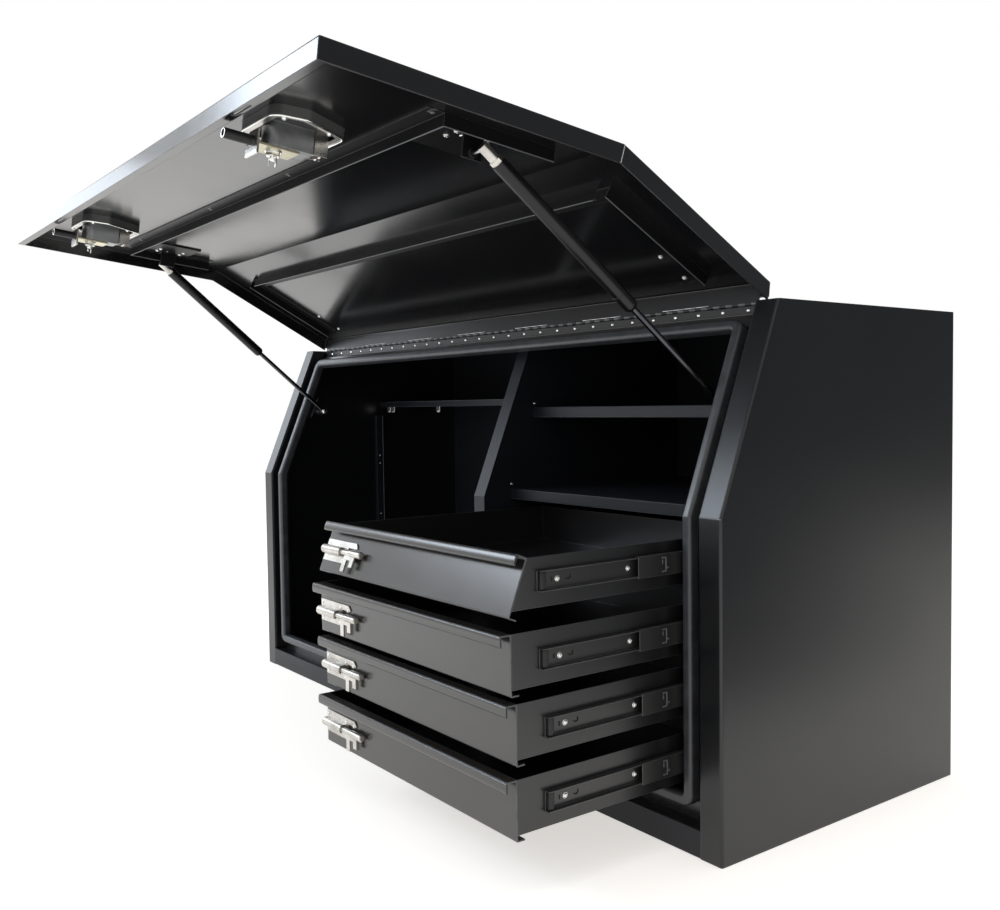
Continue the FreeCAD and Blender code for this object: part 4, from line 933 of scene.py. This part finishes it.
# A soft grey flag close to the right side darkens that panel's front part
SHADE_X = 1.3
SHADE_Y = (-0.1, 1.35)
SHADE_TOP = 1.1
SHADE_FADE = (0.25, 1.3)
shade_mat = bpy.data.materials.new("shade_flag")
tree, out = bare_tree(shade_mat, "ShaderNodeOutputMaterial")
grey = emission(tree, (0.90, 0.95, 1.0), 0.20)
clear = tree.nodes.new("ShaderNodeBsdfTransparent")
place = tree.nodes.new("ShaderNodeTexCoord")
parts = tree.nodes.new("ShaderNodeSeparateXYZ")
fade = tree.nodes.new("ShaderNodeMapRange")
fade.interpolation_type = "SMOOTHSTEP"
fade.inputs["From Min"].default_value = SHADE_FADE[0]
fade.inputs["From Max"].default_value = SHADE_FADE[1]
blend = tree.nodes.new("ShaderNodeMixShader")
tree.links.new(place.outputs["Object"], parts.inputs[0])
tree.links.new(parts.outputs["Y"], fade.inputs["Value"])
tree.links.new(fade.outputs["Result"], blend.inputs[0])
tree.links.new(grey.outputs[0], blend.inputs[1])
tree.links.new(clear.outputs[0], blend.inputs[2])
tree.links.new(blend.outputs[0], out.inputs["Surface"])
shade = [
    (SHADE_X, SHADE_Y[0], 0.0), (SHADE_X, SHADE_Y[1], 0.0),
    (SHADE_X, SHADE_Y[1], SHADE_TOP), (SHADE_X, SHADE_Y[0], SHADE_TOP),
]
flags.append(stage_plane("shade_flag", shade, shade_mat))
for flag in flags:
    flag.visible_camera = False
    flag.visible_diffuse = False
    flag.visible_shadow = False
    flag.visible_transmission = False

# The world is white where it is seen, and softer where it lights
SOFT_STRENGTH = 0.55
world = bpy.data.worlds.new("studio")
bpy.context.scene.world = world
tree, out = bare_tree(world, "ShaderNodeOutputWorld")
mix = tree.nodes.new("ShaderNodeMixShader")
tree.links.new(background_rays(tree), mix.inputs[0])
for slot, strength in ((1, SOFT_STRENGTH), (2, 1.0)):
    background = tree.nodes.new("ShaderNodeBackground")
    background.inputs["Color"].default_value = (1, 1, 1, 1)
    background.inputs["Strength"].default_value = strength
    tree.links.new(background.outputs[0], mix.inputs[slot])
tree.links.new(mix.outputs[0], out.inputs["Surface"])


def area_light(name, place, target, width, height, power, colour):
    data = bpy.data.lights.new(name, "AREA")
    data.shape = "RECTANGLE"
    data.size = width
    data.size_y = height
    data.energy = power
    data.color = colour
    lamp = bpy.data.objects.new(name, data)
    bpy.context.scene.collection.objects.link(lamp)
    lamp.location = place
    lamp.rotation_euler = (Vector(target) - Vector(place)).to_track_quat("-Z", "Y").to_euler()


area_light("key", (-1.97, -2.70, 2.10), (0.4, -0.3, 0.4), 2.0, 1.1, 52, (0.78, 0.88, 1.0))
area_light("side", (-3.9, -1.3, 1.55), (0, -0.3, 0.8), 1.6, 1.3, 15, (0.80, 0.89, 1.0))
area_light("top", (0.5, -0.6, 4.0), (0, 0, 0.4), 2.6, 2.6, 60, (1.0, 1.0, 1.0))

# The camera was fitted to the photograph
CAMERA_PLACE = (1.7406, -1.4000, 0.6611)
AZIMUTH = math.radians(53.45)
PITCH = math.radians(-2.51)
ROLL = math.radians(-0.76)
camera_data = bpy.data.cameras.new("camera")
camera = bpy.data.objects.new("camera", camera_data)
bpy.context.scene.collection.objects.link(camera)
bpy.context.scene.camera = camera
forward = Vector((
    -math.sin(AZIMUTH) * math.cos(PITCH), math.cos(AZIMUTH) * math.cos(PITCH), math.sin(PITCH)
))
right = forward.cross(Z).normalized()
upward = right.cross(forward)
right_rolled = right * math.cos(ROLL) + upward * math.sin(ROLL)
up_rolled = upward * math.cos(ROLL) - right * math.sin(ROLL)
matrix = Matrix((right_rolled, up_rolled, -forward)).transposed().to_4x4()
matrix.translation = Vector(CAMERA_PLACE)
camera.matrix_world = matrix
camera_data.sensor_width = 36.0
camera_data.lens = 36.92
camera_data.shift_x = 0.0004
camera_data.shift_y = -0.0032
camera_data.clip_start = 0.05
camera_data.clip_end = 60.0
bpy.context.scene.view_settings.view_transform = "Standard"
